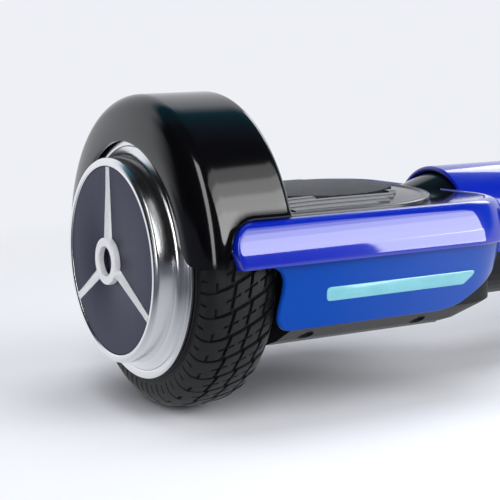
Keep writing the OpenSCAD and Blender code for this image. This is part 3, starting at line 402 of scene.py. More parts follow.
tyreSet = {
    "rows": 36, "middleU": 250.0, "halfW": 21.0, "crownR": 82.5, "sideR": 68.0, "power": 2.6,
    "lean": 0.37,  # degrees that a slot turns for each mm inwards
    "zig": 1.15, "zigReach": 17, "zigFade": 4, "zigFlip": 0.4, "zigSplit": 0.5,
    "grooves": (259.0, 249.7, 240.4), "grooveDepth": 2.3, "grooveHalf": 0.95, "grooveWall": 0.35,
    "slot": (-0.55, 0.55), "sipeTurn": (4.45, 5.55), "turnWall": 0.2,  # degrees round the tyre
    "sipe": 3.8, "sipeWall": 0.3, "sipeDepth": 1.3, "notchTurn": (-0.75, 3.5), "notchOut": (16.2, 17.4),
    "treadR": 78, "slitDepth": 0.9, "slitR": (68.2, 78.4), "shortSlitR": (69.0, 74.2), "slitWall": 0.4,
    "crownLines": (16.2, 16.55, 17.05, 17.4, 14.8),
    "sideLines": (78.4, 78.0, 76.2, 74.2, 73.8, 71.6, 69.4, 69.0, 68.6, 68.2),
    "seatR": 61.15, "beadU": (271.6, 230.0), "beadR": (64.5, 65.0, 66.2, 66.5), "beadEase": 0.25,
    "innerBeadR": 64.0, "skinR": 66.6, "seam": 0.01,
}


def shoulderU(r):  # how far out from the middle the tyre is at radius r
    s = tyreSet
    rise = (r - s["sideR"]) / (s["crownR"] - s["sideR"])
    return s["halfW"] * (1 - rise ** s["power"]) ** (1 / s["power"])


def crownR(out):  # the tyre's radius that far out from its middle
    s = tyreSet
    rise = max(0, 1 - abs(out / s["halfW"]) ** s["power"]) ** (1 / s["power"])
    return s["sideR"] + (s["crownR"] - s["sideR"]) * rise


def within(value, low, high, edge):  # 1 inside, 0 outside, with a steep wall between
    return max(0.0, min(1.0, (value - low) / edge, (high - value) / edge))


def treadDepth(turn, out, r):
    s = tyreSet
    slot = within(turn, *s["slot"], s["turnWall"])
    sipe = within(turn, *s["sipeTurn"], s["turnWall"])
    if abs(out) >= shoulderU(s["treadR"]):
        return max(s["slitDepth"] * slot * within(r, *s["slitR"], s["slitWall"]),
                   s["slitDepth"] * sipe * within(r, *s["shortSlitR"], s["slitWall"]))
    notch = within(turn, *s["notchTurn"], s["turnWall"])
    depths = [s["grooveDepth"] * slot,
              s["sipeDepth"] * notch * within(abs(out), *s["notchOut"], s["grooveWall"])]
    for groove in s["grooves"]:
        off = out - (groove - s["middleU"])
        depths.append(s["grooveDepth"] * within(off, -s["grooveHalf"], s["grooveHalf"], s["grooveWall"]))
        depths.append(s["sipeDepth"] * sipe * within(off, -s["sipe"], s["sipe"], s["sipeWall"]))
    return max(depths)


def tyreLines():  # places across the tyre, as (u, radius), from the outer bead to the inner
    s = tyreSet
    outs = {s["halfW"], -s["halfW"]}
    for groove in s["grooves"]:
        off = groove - s["middleU"]
        for reach, wall in ((s["grooveHalf"], s["grooveWall"]), (s["sipe"], s["sipeWall"])):
            outs |= {off - reach, off - reach + wall, off + reach - wall, off + reach}
    for step in s["crownLines"]:
        outs |= {step, -step}
    for r in s["sideLines"]:
        outs |= {shoulderU(r), -shoulderU(r)}
    beadU, edge = s["beadU"][0], s["middleU"] + s["halfW"]
    beadPlaces = (beadU, edge, edge, edge - s["beadEase"])
    lines = [(beadU, s["seatR"]), *zip(beadPlaces, s["beadR"])]
    lines += [(s["middleU"] + out, crownR(out)) for out in sorted(outs, reverse=True)]
    lines += [(s["middleU"] - s["halfW"], s["innerBeadR"]), (s["beadU"][1], s["seatR"])]
    return lines


# Degrees round the tyre at which one row of the tread has its points
turnLines = (-2.5, -1.6, -0.75, -0.55, -0.35, 0.35, 0.55, 1.5, 2.5,
             3.3, 3.5, 4.45, 4.65, 5.35, 5.55, 6.5, 7.5)


def addTyre(half):
    s = tyreSet
    lines = tyreLines()
    pitch = 360 / s["rows"]
    points = []
    for turn in turnLines:
        saw = turn if turn < s["zigSplit"] else turn - pitch
        zig = s["zig"] * (-1 - 2 * saw / pitch)
        if abs(turn) <= s["zigFlip"]:
            zig = s["zig"] * turn / s["zigFlip"]
        for k, (u, r) in enumerate(lines):
            out = u - s["middleU"]
            before, after = lines[k - 1], lines[(k + 1) % len(lines)]
            slope = Vector((after[0] - before[0], after[1] - before[1])).normalized()
            depth = treadDepth(turn, out, r) if r > s["skinR"] else 0.0
            shift = zig * within(out, -s["zigReach"], s["zigReach"], s["zigFade"])
            angle = radians(turn - s["lean"] * out)
            r = r - depth * abs(slope.x)
            u = u + shift - depth * (1 if out > 0 else -1) * abs(slope.y)
            points.append((u, -r * sin(angle), -r * cos(angle)))
    faces = net(len(turnLines), len(lines), False, True)
    tyre = addPiece("TyreTread", half, points, faces, "tyre", 180)
    sizes = {"Rows": s["rows"], "Turn": 2 * pi / s["rows"], "Axle height": axleZ * mm}
    tree = Tree(half + "TreadRows", sizes)
    line = tree.node("MeshLine", {"Count": tree.given("Rows"), "Offset": (0, 0, 0)})
    index = tree.node("InputIndex")
    spin = tree.vector(x=tree.maths("MULTIPLY", index, tree.given("Turn")))
    ring = tree.node("InstanceOnPoints",
                     {"Points": line, "Instance": tree.given("Geometry"), "Rotation": spin})
    lift = tree.vector(z=tree.given("Axle height"))
    placed = tree.node("Transform", {"Geometry": ring, "Translation": lift})
    tree.finish(placed, "tyre", s["seam"] * mm)
    tree.run(tyre)
    tidyMesh(tyre.data, 32)
    mount(tyre, half + "_wheel", "tyre", half + "_tyre")


fenderSet = {
    "archR": 63.3, "r": 87.7, "outU": 279.5, "inU": 224.5, "round": 11.0, "inRound": 4.0, "wall": 2.2,
    "roundMid": (76.7, 266.2), "roundTurn": 72, "roundSteps": 14, "inSteps": 6,
    "lean": 1.75, "sideParts": (0, 0.08, 0.2, 0.36, 0.52, 0.68, 0.84),  # the side leans in up to the round
    "topU": (263.38, 262.8, 261.4, 259, 256, 252, 248.2, 243, 238, 233),
    "endZ": 87.0, "corner": 9.0, "cornerR": 75.0,
    "barU": 248.2, "barZ": 94.5, "barR": 15.2,  # the rounded bar end that it is cut round
    "deckLowZ": 96.5, "deckHalfY": 76, "wallSteps": 5, "leastWall": 0.5,  # the inner wall
    "flare": 1.3, "flareReach": 4.5, "flareU": 275.5, "columns": 96, "spacing": (0.72, 0.28), "edge": 0.5,
}


def fenderEnd(r, u):  # height at which a line of the fender ends beside the bar or the drum
    s = fenderSet
    if u > s["barU"] + s["barR"]:
        if r < s["cornerR"]:
            return s["endZ"] + s["corner"] - sqrt(max(0, s["corner"] ** 2 - (r - s["cornerR"]) ** 2))
        return s["endZ"]
    return s["barZ"] + sqrt(s["barR"] ** 2 - max(0, u - s["barU"]) ** 2)


def fenderLines():
    s = fenderSet
    turn = radians(s["roundTurn"])
    mid = s["roundMid"]
    meetR, meetU = mid[0] + s["round"] * cos(turn), mid[1] + s["round"] * sin(turn)
    lines = [(s["archR"] + (meetR - s["archR"]) * part, s["outU"] + (meetU - s["outU"]) * part ** s["lean"])
             for part in s["sideParts"]]
    lines += [(mid[0] + s["round"] * cos(a), mid[1] + s["round"] * sin(a))
              for a in (turn * (1 - k / s["roundSteps"]) for k in range(s["roundSteps"] + 1))]
    lines += [(s["r"], u) for u in s["topU"]]
    mid = (s["r"] - s["inRound"], s["inU"] + s["inRound"])
    lines += [(mid[0] + s["inRound"] * cos(a), mid[1] - s["inRound"] * sin(a))
              for a in (radians(90 * k / s["inSteps"]) for k in range(s["inSteps"] + 1))]
    return lines


def addFender(half):
    s = fenderSet
    lines = fenderLines()
    points = []
    for i in range(s["columns"] + 1):
        swing = cos(pi * i / s["columns"])
        f = 0.5 - 0.5 * swing * (s["spacing"][0] + s["spacing"][1] * swing ** 2)  # closer at the ends
        for r, u in lines:
            start = asin((fenderEnd(r, u) - axleZ) / r)
            angle = start + (pi - 2 * start) * f
            z = r * sin(angle) + axleZ
            away = hypot(max(u - s["barU"], 0), max(z - s["barZ"], 0)) - s["barR"]
            grown = r
            if u < s["flareU"]:
                grown += s["flare"] * max(0, 1 - max(away, 0) / s["flareReach"]) ** 2
            points.append((u, -grown * cos(angle), grown * sin(angle) + axleZ))
        # From the last line the inner wall goes on towards the axle
        low = (s["deckLowZ"] - axleZ) / sin(angle)
        if abs(low * cos(angle)) > s["deckHalfY"]:
            low = r
        low = min(low, r - s["leastWall"])
        for k in range(1, s["wallSteps"] + 1):
            wallR = r + (low - r) * k / s["wallSteps"]
            points.append((s["inU"], -wallR * cos(angle), wallR * sin(angle) + axleZ))
    faces = net(s["columns"] + 1, len(lines) + s["wallSteps"])
    fender = addPiece("FenderShell", half, points, faces, "satin_black", 60)
    thick = fender.modifiers.new("wall", "SOLIDIFY")
    thick.thickness, thick.offset, thick.use_even_offset = s["wall"] * mm, -1, True
    edge = fender.modifiers.new("edges", "BEVEL")
    edge.width, edge.segments = s["edge"] * mm, 3
    edge.limit_method, edge.angle_limit = "ANGLE", radians(50)
    applyModifiers(fender)
    shade(fender.data, 50)
    mount(fender, half + "_half", "satin_black", half + "_fender")


wheelSet = {
    "discU": 288.6, "steps": 160, "footSteps": 10, "drumEdge": 0.6, "rimEdge": 0.5, "ringEdge": 0.45,
    "footR": 60.4, "footU": 278.2, "footIn": 5.2, "footOut": 3.6,  # the drum's foot sweeps in and out
    # Outlines as (radius, u)
    "drumBack": ((11.5, 281.6), (52.9, 281.6), (52.9, 272.1), (56.8, 272.1), (56.8, 273.7), (60.4, 273.7)),
    "drumFace": ((55.18, 279.0), (54.97, 286.4), (54.95, 287.0), (54.7, 287.8), (53.9, 288.9), (53.0, 289.3),
                 (51.2, 289.3), (50.5, 288.7), (50.5, 285.2), (11.5, 285.2)),
    "rim": ((56.0, 232), (61, 232), (61, 272), (64.2, 272), (65.0, 272.8), (65.0, 274.2), (64.2, 275),
            (61.4, 274.8), (60.5, 274.4), (60.5, 273.6), (56.9, 273.6), (56.9, 272), (56.0, 272)),
    "disc": ((8.0, 287.0), (8.0, 288.45), (8.3, 288.6), (49.9, 288.6), (50.4, 288.1), (50.4, 285.2),
             (0.01, 285.2), (0.01, 287.0)),
    "ring": ((8.0, 288.6), (8.0, 292.0), (12.5, 292.0), (12.8, 288.6)), "ringSteps": 96,
    "spokes": 3, "spokeRows": 14, "spokeColumns": 7, "spokeR": (11.7, 50.2), "spokeW": (5.6, 4.2),
    "spokeRise": (3.264, 0.7), "shoulder": 0.75, "shoulderRise": 0.45,  # shares of half width and rise
}


def addWheelFace(half):
    s = wheelSet
    body = half + "_wheel"
    foot = [(s["footR"] - s["footIn"] * sin(a), s["footU"] - s["footOut"] * cos(a))
            for a in (pi / 2 * k / s["footSteps"] for k in range(s["footSteps"] + 1))]
    drum = roundCorners([*s["drumBack"], *foot, *s["drumFace"]], s["drumEdge"])
    piece = addPiece("DrumFace", half, *turned(drum, s["steps"]), "polished_aluminium", 50)
    mount(piece, body, "polished_aluminium", half + "_outer_cover")
    rim = roundCorners(s["rim"], s["rimEdge"])
    piece = addPiece("RimFlange", half, *turned(rim, s["steps"]), "polished_aluminium", 50)
    mount(piece, body, "polished_aluminium", half + "_rim")
    piece = addPiece("FaceDisc", half, *turned(s["disc"], s["steps"]), "dark_disc", 40)
    mount(piece, body, "dark_disc", half + "_wheel_disc")
    points, faces = turned(roundCorners(s["ring"], s["ringEdge"]), s["ringSteps"])
    rows, columns = s["spokeRows"], s["spokeColumns"]
    for k in range(s["spokes"]):  # a spoke is a ridge with two facets, falling away to the drum's edge
        a = 2 * pi * k / s["spokes"]
        faces += capped(rows, columns, len(points))
        for i in range(rows):
            r, width, height = (first + (last - first) * i / (rows - 1)
                                for first, last in (s["spokeR"], s["spokeW"], s["spokeRise"]))
            for j in range(columns):
                t = -1 + 2 * j / (columns - 1)
                h = height * s["shoulderRise"] * (1 - abs(t)) / (1 - s["shoulder"])
                if abs(t) <= s["shoulder"]:
                    h = height * (1 - (1 - s["shoulderRise"]) * abs(t) / s["shoulder"])
                y = t * width / 2
                points.append((s["discU"] + h, y * cos(a) - r * sin(a),
                               axleZ + y * sin(a) + r * cos(a)))
    piece = addPiece("SpokesAndRing", half, points, faces, "bright_spokes", 28)
    mount(piece, body, "bright_spokes", half + "_spokes")


padSet = {
    "inU": 106.0, "outU": 221.2, "halfW": 75.0, "endL": 60.0, "power": 2 / 2.6,
    "crown": 4.8, "crownU": 163.0, "crownL": 66.0, "floorZ": 108.3,  # the floor between the ribs
    # Rings from the underside up and in: inset, height, 1 where the ring follows the crown
    "rings": ((2.2, 106.5, 0), (0.0, 106.9, 0), (0.0, 108.2, 1), (0.4, 109.0, 1), (1.3, 109.4, 1),
              (3.6, 109.4, 1), (4.2, 108.5, 1)),
    "floorInsets": (4.8, 9, 14, 20, 27, 34, 41, 48, 54),
    "ribH": 1.7, "ribW": 6.0, "pitch": 9.0, "border": 5.0, "firstRib": 6, "shortest": 4,
    "leafU": 163.0, "leafL": 49.0, "leafW": 46.0, "leafSlant": 28.0, "leafPitch": 3.4, "leafRibW": 1.7,
    "leafGap": 4, "leafMargin": 3,
}


def padOutline(shrink, steps=40):  # straight outer end, full round inner end
    s = padSet
    half = s["halfW"] - shrink
    points = [(s["outU"] - shrink, -half), (s["outU"] - shrink, half)]
    for i in range(steps + 1):
        a = pi / 2 - pi * i / steps
        side = 1 if sin(a) > 0 else -1
        points.append((s["inU"] + s["endL"] - (s["endL"] - shrink) * abs(cos(a)) ** s["power"],
                       side * half * abs(sin(a)) ** s["power"]))
    return points


def padReach(y, shrink):  # how far in a rib at y may run
    s = padSet
    part = min(1.0, abs(y) / (s["halfW"] - shrink))
    return s["inU"] + s["endL"] - (s["endL"] - shrink) * max(0, 1 - part ** (1 / s["power"])) ** s["power"]


def leafSpan(y):  # half length of the leaf at y
    s = padSet
    return s["leafL"] * sqrt(max(0, 1 - (y / s["leafW"]) ** 2))


def crownZ(u, y):  # how far the crowned top rises at a place
    s = padSet
    return s["crown"] * (1 - (y / s["halfW"]) ** 2) * (1 - abs((u - s["crownU"]) / s["crownL"]) ** 4)


def ribBar(name, steps=16):  # one rib, a unit long, wide and high, with its top edges rounded
    profile = roundCorners([(-0.5, -0.3), (0.5, -0.3), (0.40, 1.0), (-0.40, 1.0)], 0.16, 3)
    points = [(k / steps - 0.5, y, z) for k in range(steps + 1) for y, z in profile]
    mesh = bpy.data.meshes.new(name)
    mesh.from_pydata(points, [], capped(steps + 1, len(profile)))
    tidyMesh(mesh, 40)
    return mesh


def addPad(half):
    s = padSet
    points, rows = [], [*s["rings"], *((inset, s["floorZ"], 1) for inset in s["floorInsets"])]
    for inset, z, crowned in rows:
        points += [(u, y, z + crowned * crownZ(u, y)) for u, y in padOutline(inset)]
    faces = capped(len(rows), len(points) // len(rows))
    pad = addPiece("FootPad", half, points, faces, "pad_rubber", 35)
    ribs = []  # u and y of the middle, length, width and turn of each rib
    lanes = int(s["halfW"] * 2 / s["pitch"])
    for k in range(lanes):
        y = -s["halfW"] + s["firstRib"] + k * s["pitch"]
        first, last = padReach(y, s["border"]), s["outU"] - s["border"]
        pieces = [(first, last)]
        if leafSpan(y):
            gap = leafSpan(y) + s["leafGap"]
            pieces = [(first, s["leafU"] - gap), (s["leafU"] + gap, last)]
        ribs += [((a + b) / 2, y, b - a, s["ribW"], 0.0) for a, b in pieces if b - a > s["shortest"]]
    slant = radians(s["leafSlant"])
    count = int(s["leafW"] * 2 / s["leafPitch"])
    for k in range(count):  # fine slanted ribs inside the leaf
        off = (k + 0.5 - count / 2) * s["leafPitch"]
        a = (cos(slant) / s["leafL"]) ** 2 + (sin(slant) / s["leafW"]) ** 2
        b = off * sin(slant) * cos(slant) * (1 / s["leafW"] ** 2 - 1 / s["leafL"] ** 2)
        c = (off * sin(slant) / s["leafL"]) ** 2 + (off * cos(slant) / s["leafW"]) ** 2 - 1
        if b * b - a * c <= 0:
            continue
        root = sqrt(b * b - a * c)
        middle, length = -b / a, 2 * root / a - s["leafMargin"]
        if length > s["shortest"]:
            ribs.append((s["leafU"] + middle * cos(slant) - off * sin(slant),
                         middle * sin(slant) + off * cos(slant), length, s["leafRibW"], slant))
    side = halves[half]
    cloud = bpy.data.meshes.new(half + "RibPlaces")
    cloud.from_pydata([(side * rib[0] * mm, rib[1] * mm, s["floorZ"] * mm) for rib in ribs], [], [])
    for k, (key, unit) in enumerate((("ribLength", mm), ("ribWidth", mm), ("ribTurn", side))):
        values = [rib[k + 2] * unit for rib in ribs]
        cloud.attributes.new(key, "FLOAT", "POINT").data.foreach_set("value", values)
    ribPiece = link(half + "PadRibs", cloud)
    bar = bpy.data.objects.new(half + "RibBar", ribBar(half + "RibBar"))
    tree = Tree(half + "PadRibTree", {
        "Rib height": s["ribH"] * mm, "Crown": s["crown"] * mm, "Half width": s["halfW"] * mm,
        "Crown middle": s["crownU"] * mm, "Crown length": s["crownL"] * mm})
    seen = tree.node("ObjectInfo", {"Object": bar}, {"transform_space": "ORIGINAL"},
                     out="Geometry")
    named = {key: tree.node("InputNamedAttribute", {"Name": key}, {"data_type": "FLOAT"})
             for key in ("ribLength", "ribWidth", "ribTurn")}
    scale = tree.vector(named["ribLength"], named["ribWidth"], tree.given("Rib height"))
    turn = tree.vector(z=named["ribTurn"])
    bars = tree.node("InstanceOnPoints",
                     {"Points": tree.given("Geometry"), "Instance": seen, "Rotation": turn, "Scale": scale})
    # The ribs follow the crown of the pad
    real = tree.node("RealizeInstances", {0: bars})
    place = tree.node("InputPosition")
    split = newNode(tree.group, "ShaderNodeSeparateXYZ", {0: place}, {}).outputs
    maths = tree.maths
    across = maths("POWER", maths("ABSOLUTE", maths("DIVIDE", split[1], tree.given("Half width"))), 2.0)
    along = maths("SUBTRACT", maths("ABSOLUTE", split[0]), tree.given("Crown middle"))
    along = maths("POWER", maths("ABSOLUTE", maths("DIVIDE", along, tree.given("Crown length"))), 4.0)
    rise = maths("MULTIPLY", maths("SUBTRACT", 1.0, across), maths("SUBTRACT", 1.0, along))
    lift = tree.vector(z=maths("MULTIPLY", rise, tree.given("Crown")))
    crowned = tree.node("SetPosition", {"Geometry": real, "Offset": lift})
    tree.finish(crowned, "pad_rubber")
    tree.run(ribPiece)
    bpy.data.objects.remove(bar)
    shade(ribPiece.data, 40)
    mount(pad, half + "_pad", "pad_rubber", half + "_foot_pad")
    mount(ribPiece, half + "_pad", "pad_rubber")


shellSet = {
    "halfW": 93.0, "cornerU": 115.0, "cornerR": 45.0, "neckU": 70.0, "wall": 2.4,
    "lipD": 13.5, "deckZ": 108.5, "creaseZ": 84.9, "lowZ": 51.2, "stepD": 4.7, "lean": 3.4, "bulge": 0.25,
    # The bar's section as (depth, height): the deck's lip, curves with their steps, and the foot
    "barLip": ((13.5, 105.7), (13.5, 107.9), (13.2, 108.4), (12.4, 108.5), (11.4, 108.5)),
    "barCurves": (((11.4, 108.5), (9.6, 108.5), (8.2, 107.6), (7.0, 106.6), 6),
                  ((7.0, 106.6), (4.55, 104.5), (1.5, 97.1), (0.6, 92.2), 14),
                  ((0.6, 92.2), (0.25, 90.2), (0.02, 88.8), (0.02, 87.6), 6),
                  ((0.02, 87.6), (0.02, 86.4), (0.6, 85.5), (2.0, 85.35), 6)),
    "barFoot": ((3.7, 85.15), (4.4, 85.0)),
    "shares": (0.0, 0.012, 0.04, 0.1, 0.2, 0.3, 0.4, 0.5, 0.6, 0.7, 0.8, 0.88, 0.94, 0.975, 0.99),
    "footShare": 0.998, "footWall": 0.6, "footEase": (0.25, 0.1), "footD": 0.8,  # the panel's lower edge
    "climbU": 137.0, "climbR": 45.0, "climbTurn": 27.0,  # the panel's lower edge climbs to the neck
    "barEndU": 262.2, "barEndR": 14.0, "barLean": 3.0,
    "notchU": 233.2, "notchR": 8.0, "swell": 3.0, "footR": 7.0,  # the S shaped end of the panel
    "wellU": 224.0, "wellR": 85.8,  # beside the wheel the bars are cut back to this radius
    "edge": 1.1, "splitZ": 70.5, "neckR": 37.5, "neckInR": 34.5, "neckGap": 1.5,
    "hoodU": 76.5, "hoodEdge": 1.3, "hoodSteps": 64,
    "seatR": 36.0, "rampR": 34.4, "rampU": 74.0, "rampFall": 0.32,  # where the bars meet hood and ramp
}
portSet = {  # the charging socket, the power button and the flap's lugs, in the right half's rear panel
    "holes": ((190.0, 68.15, 9.6), (154.0, 68.15, 6.8)), "cut": (70.0, 110.0), "sides": 64,
    "lugU": 190.0, "lugGap": 4.3, "lugW": 3.0, "lugY": (84.8, 89.2), "lugZ": 80.65, "lugR": 2.0,
    "lugSteps": 12,
}
lampSet = {
    "outU": 208.0, "inU": 110.4, "lowZ": 64.4, "topZ": 71.7, "slant": 9.5, "round": 2.5,
    "rings": ((0.0, -2.0), (0.0, 0.05), (0.08, 0.22), (0.25, 0.3)),  # inset, and how far out from the panel
}


def curve(a, b, c, d, steps):  # a Bezier stretch without its first point
    made = []
    for k in range(1, steps + 1):
        t = k / steps
        made.append(tuple(w * (1 - t) ** 3 + 3 * x * t * (1 - t) ** 2 + 3 * y * t * t * (1 - t) + z * t ** 3
                          for w, x, y, z in zip(a, b, c, d)))
    return made


# The skin's section as (depth, height, share of the panel's height), from the deck's lip down
def shellSection():
    s = shellSet
    bar = list(s["barLip"])
    for *corners, steps in s["barCurves"]:
        bar += curve(*corners, steps)
    bar += s["barFoot"]
    outer = [(d, z, None) for d, z in bar]
    outer += [(panelDepth(t), panelZ(t, s["lowZ"]), t) for t in s["shares"]]
    foot = s["stepD"] + s["lean"]
    outer += [(foot + s["footEase"][0], s["lowZ"] + s["footEase"][1], s["footShare"]),
              (foot + s["footD"], s["lowZ"], 1.0)]
    inner = []
    for k, (d, z, t) in enumerate(outer):
        before, after = outer[max(k - 1, 0)], outer[min(k + 1, len(outer) - 1)]
        way = Vector((after[0] - before[0], after[1] - before[1])).normalized()
        if k < len(s["barLip"]) - 1:
            inner.append((s["lipD"] - s["wall"], s["deckZ"] - s["wall"], None))
        elif t is None:
            inner.append((d - way.y * s["wall"], z + way.x * s["wall"], None))
        else:
            inner.append((d + s["wall"] * (1 if t < s["footShare"] else s["footWall"]), z, t))
    return outer, inner


def panelDepth(share):  # the panel leans in towards its foot, with a slight bulge
    s = shellSet
    return s["stepD"] + s["lean"] * share - s["bulge"] * sin(pi * share)


def panelZ(share, low):
    return shellSet["creaseZ"] + share * (low - shellSet["creaseZ"])


def panelLow(u):  # height of the panel's lower edge
    s = shellSet
    turn, reach = radians(s["climbTurn"]), max(0, s["climbU"] - u)
    straight = reach - s["climbR"] * sin(turn)
    if straight < 0:
        return s["lowZ"] + s["climbR"] - sqrt(s["climbR"] ** 2 - reach ** 2)
    return s["lowZ"] + s["climbR"] * (1 - cos(turn)) + straight * tan(turn)


def sideEnd(z, onBar):  # where a line of the side ends beside the wheel
    s = shellSet
    if onBar:
        mid = s["deckZ"] - s["barEndR"]
        if z > mid:
            return s["barEndU"] - s["barEndR"] + sqrt(max(0, s["barEndR"] ** 2 - (z - mid) ** 2))
        return s["barEndU"] - s["barLean"] * (mid - z) / (mid - s["creaseZ"])
    notchZ, footZ = s["creaseZ"] - s["notchR"], s["lowZ"] + s["footR"]
    if z > notchZ:
        return s["notchU"] + s["notchR"] - sqrt(max(0, s["notchR"] ** 2 - (z - notchZ) ** 2))
    if z > footZ:
        return s["notchU"] + s["swell"] * (1 - cos(pi * (notchZ - z) / (notchZ - footZ))) / 2
    return s["notchU"] + s["swell"] - s["footR"] + sqrt(max(0, s["footR"] ** 2 - (footZ - z) ** 2))


# Places along the side, after those near its end that follow the end's shape
endParts, endStopU = (0, 0.06, 0.16, 0.3, 0.5, 0.75, 1), 226.0
sideU = [224.6, 223.4] + [216 - 9 * k for k in range(11)] + [120.5, 115.0]
cornerSteps, neckParts, edgeEase = 18, (0.25, 0.5, 0.75, 1), 0.3


def shellLine(d, z, share, inset):  # from the bar's end along the side and round the corner to the neck
    s = shellSet
    onBar = share is None
    end = sideEnd(z, onBar) - inset
    well = s["halfW"] - sqrt(s["wellR"] ** 2 - (z - axleZ) ** 2)
    near = min(d, well) if onBar else d
    sideY = -s["halfW"]
    cap = max(near, well) if onBar else d + s["wall"] * (inset == 0)
    line = [(end, sideY + cap, z), (end, sideY + min(cap, near + s["edge"]), z),
            (end - s["edge"] * edgeEase, sideY + min(cap, near + s["edge"] * edgeEase), z)]
    first = end - s["edge"]
    line += [(first + (endStopU - first) * part, sideY + near, z) for part in endParts]
    places = [(u, sideY + (near if u > s["wellU"] else d)) for u in sideU]
    r, midY = s["cornerR"] - d, s["cornerR"] - s["halfW"]
    for k in range(1, cornerSteps + 1):
        a = pi / 2 * k / cornerSteps
        places.append((s["cornerU"] - r * sin(a), midY - r * cos(a)))
    meet = s["seatR"]
    if s["neckU"] + d >= s["hoodU"]:
        meet = s["rampR"] - s["rampFall"] * (s["neckU"] + d - s["rampU"])
    stop = sqrt(max(1, meet ** 2 - max(0, z - axleZ) ** 2))
    places += [(s["neckU"] + d, midY + (-stop - midY) * part) for part in neckParts]
    return line + [(u, y, z if onBar else panelZ(share, panelLow(u))) for u, y in places]


def drillPorts(panel):  # round holes through the panel
    s = portSet
    for u, z, r in s["holes"]:
        angles = [2 * pi * k / s["sides"] for k in range(s["sides"])]
        points = [(u + r * cos(a), y, z + r * sin(a)) for y in s["cut"] for a in angles]
        drill = addPiece("Drill", "right", points, capped(2, s["sides"]), "blue_shell")
        cut = panel.modifiers.new("hole", "BOOLEAN")
        cut.operation, cut.solver, cut.object = "DIFFERENCE", "EXACT", drill
        applyModifiers(panel)
        bpy.data.objects.remove(drill)


def portLugs():  # two rounded lugs that hold the flap's pin
    s = portSet
    points, faces = [], []
    outline = [(s["lugY"][0], s["lugZ"] + s["lugR"]), (s["lugY"][0], s["lugZ"] - s["lugR"])]
    outline += [(s["lugY"][1] + s["lugR"] * cos(a), s["lugZ"] + s["lugR"] * sin(a))
                for a in (pi * (k / s["lugSteps"] - 0.5) for k in range(s["lugSteps"] + 1))]
    for side in (-1, 1):
        faces += capped(2, len(outline), len(points))
        for gap in (s["lugGap"], s["lugGap"] + s["lugW"]):
            points += [(s["lugU"] + side * gap, y, z) for y, z in outline]
    return points, faces


def joinPieces(name, parts):  # one object out of several, kept as separate closed shells
    work = bmesh.new()
    for part in parts:
        work.from_mesh(part.data)
        bpy.data.objects.remove(part)
    mesh = bpy.data.meshes.new(name)
    work.to_mesh(mesh)
    work.free()
    return link(name, mesh)


def addShell(half):
    s = shellSet
    outer, inner = shellSection()
    lines = [shellLine(*place, 0) for place in outer]
    lines += [shellLine(*place, s["wall"]) for place in reversed(inner)]
    rows, columns, skin = len(lines), len(lines[0]), len(outer)
    faces = net(rows, columns, True, False)
    for column in (0, columns - 1):
        faces += [tuple(row * columns + column for row in (k, k + 1, rows - 2 - k, rows - 1 - k))
                  for k in range(skin - 1)]
    parts = []
    for side in (1, -1):  # front and rear
        points = [(u, y * side, z) for line in lines for u, y, z in line]
        parts.append(addPiece("Side", half, points, faces, "blue_shell", 50))
    if half == "right":
        drillPorts(parts[1])
        parts.append(addPiece("Lugs", half, *portLugs(), "blue_shell", 50))
    hood = roundCorners([(s["neckInR"], s["neckGap"]), (s["neckR"], s["neckGap"]),
                         (s["neckR"], s["hoodU"]), (s["neckInR"], s["hoodU"])], s["hoodEdge"], 5)
    arch = [pi * k / s["hoodSteps"] for k in range(s["hoodSteps"] + 1)]
    points = []
    for r, u in hood:
        points += [(u, -r, s["splitZ"]), (u, -r, (s["splitZ"] + axleZ) / 2)]
        points += [(u, -r * cos(a), axleZ + r * sin(a)) for a in arch]
        points += [(u, r, (s["splitZ"] + axleZ) / 2), (u, r, s["splitZ"])]
    columns = len(arch) + 4
    faces = net(len(hood), columns, True, False)
    faces += [tuple(row * columns + column for row in range(len(hood))) for column in (0, columns - 1)]
    parts.append(addPiece("Hood", half, points, faces, "blue_shell", 50))
    piece = joinPieces(half + "ShellSkin", parts)
    piece.data.materials.append(finishes["blue_shell"])
    shade(piece.data, 50)
    mount(piece, half + "_half", "blue_shell", half + "_upper_shell")


def onPanel(u, z, out):  # a place on the front panel, out from its skin
    s = shellSet
    share = (s["creaseZ"] - z) / (s["creaseZ"] - panelLow(u))
    d = panelDepth(share) - out
    y = d - s["halfW"]
    if u < s["cornerU"]:
        y = s["cornerR"] - s["halfW"] - sqrt((s["cornerR"] - d) ** 2 - (s["cornerU"] - u) ** 2)
    return u, y, z


def addLamp(half):  # a slanted inner end and a rounded outer end
    s = lampSet
    corners = [(s["outU"], s["lowZ"]), (s["outU"], s["topZ"]), (s["inU"], s["topZ"]),
               (s["inU"] + s["slant"], s["lowZ"])]
    outline = roundCorners(corners, s["round"], 6)
    middleU, middleZ = (s["inU"] + s["outU"]) / 2, (s["lowZ"] + s["topZ"]) / 2
    points = []
    for inset, out in s["rings"]:
        for u, z in outline:
            inU, inZ = (1 if u < middleU else -1), (1 if z < middleZ else -1)
            points.append(onPanel(u + inset * inU, z + inset * inZ, out))
    faces = capped(len(s["rings"]), len(outline))
    piece = addPiece("LampLens", half, points, faces, "lamp_lens", 40)
    mount(piece, half + "_half", "lamp_lens", half + "_lamp_lens")


for half in halves:
    addShell(half)
    addLamp(half)
    addTyre(half)
    addFender(half)
    addWheelFace(half)
    addPad(half)
    print(half, "shell, lamp, wheel, fender and pad made")


cameraSet = {
    "place": (-611.7, -711.7, 199.3), "azimuth": -29.88, "elevation": 8.23, "roll": -1.18,
    "focalPixels": 1477.7, "framePixels": 500, "sensor": 36.0,
}


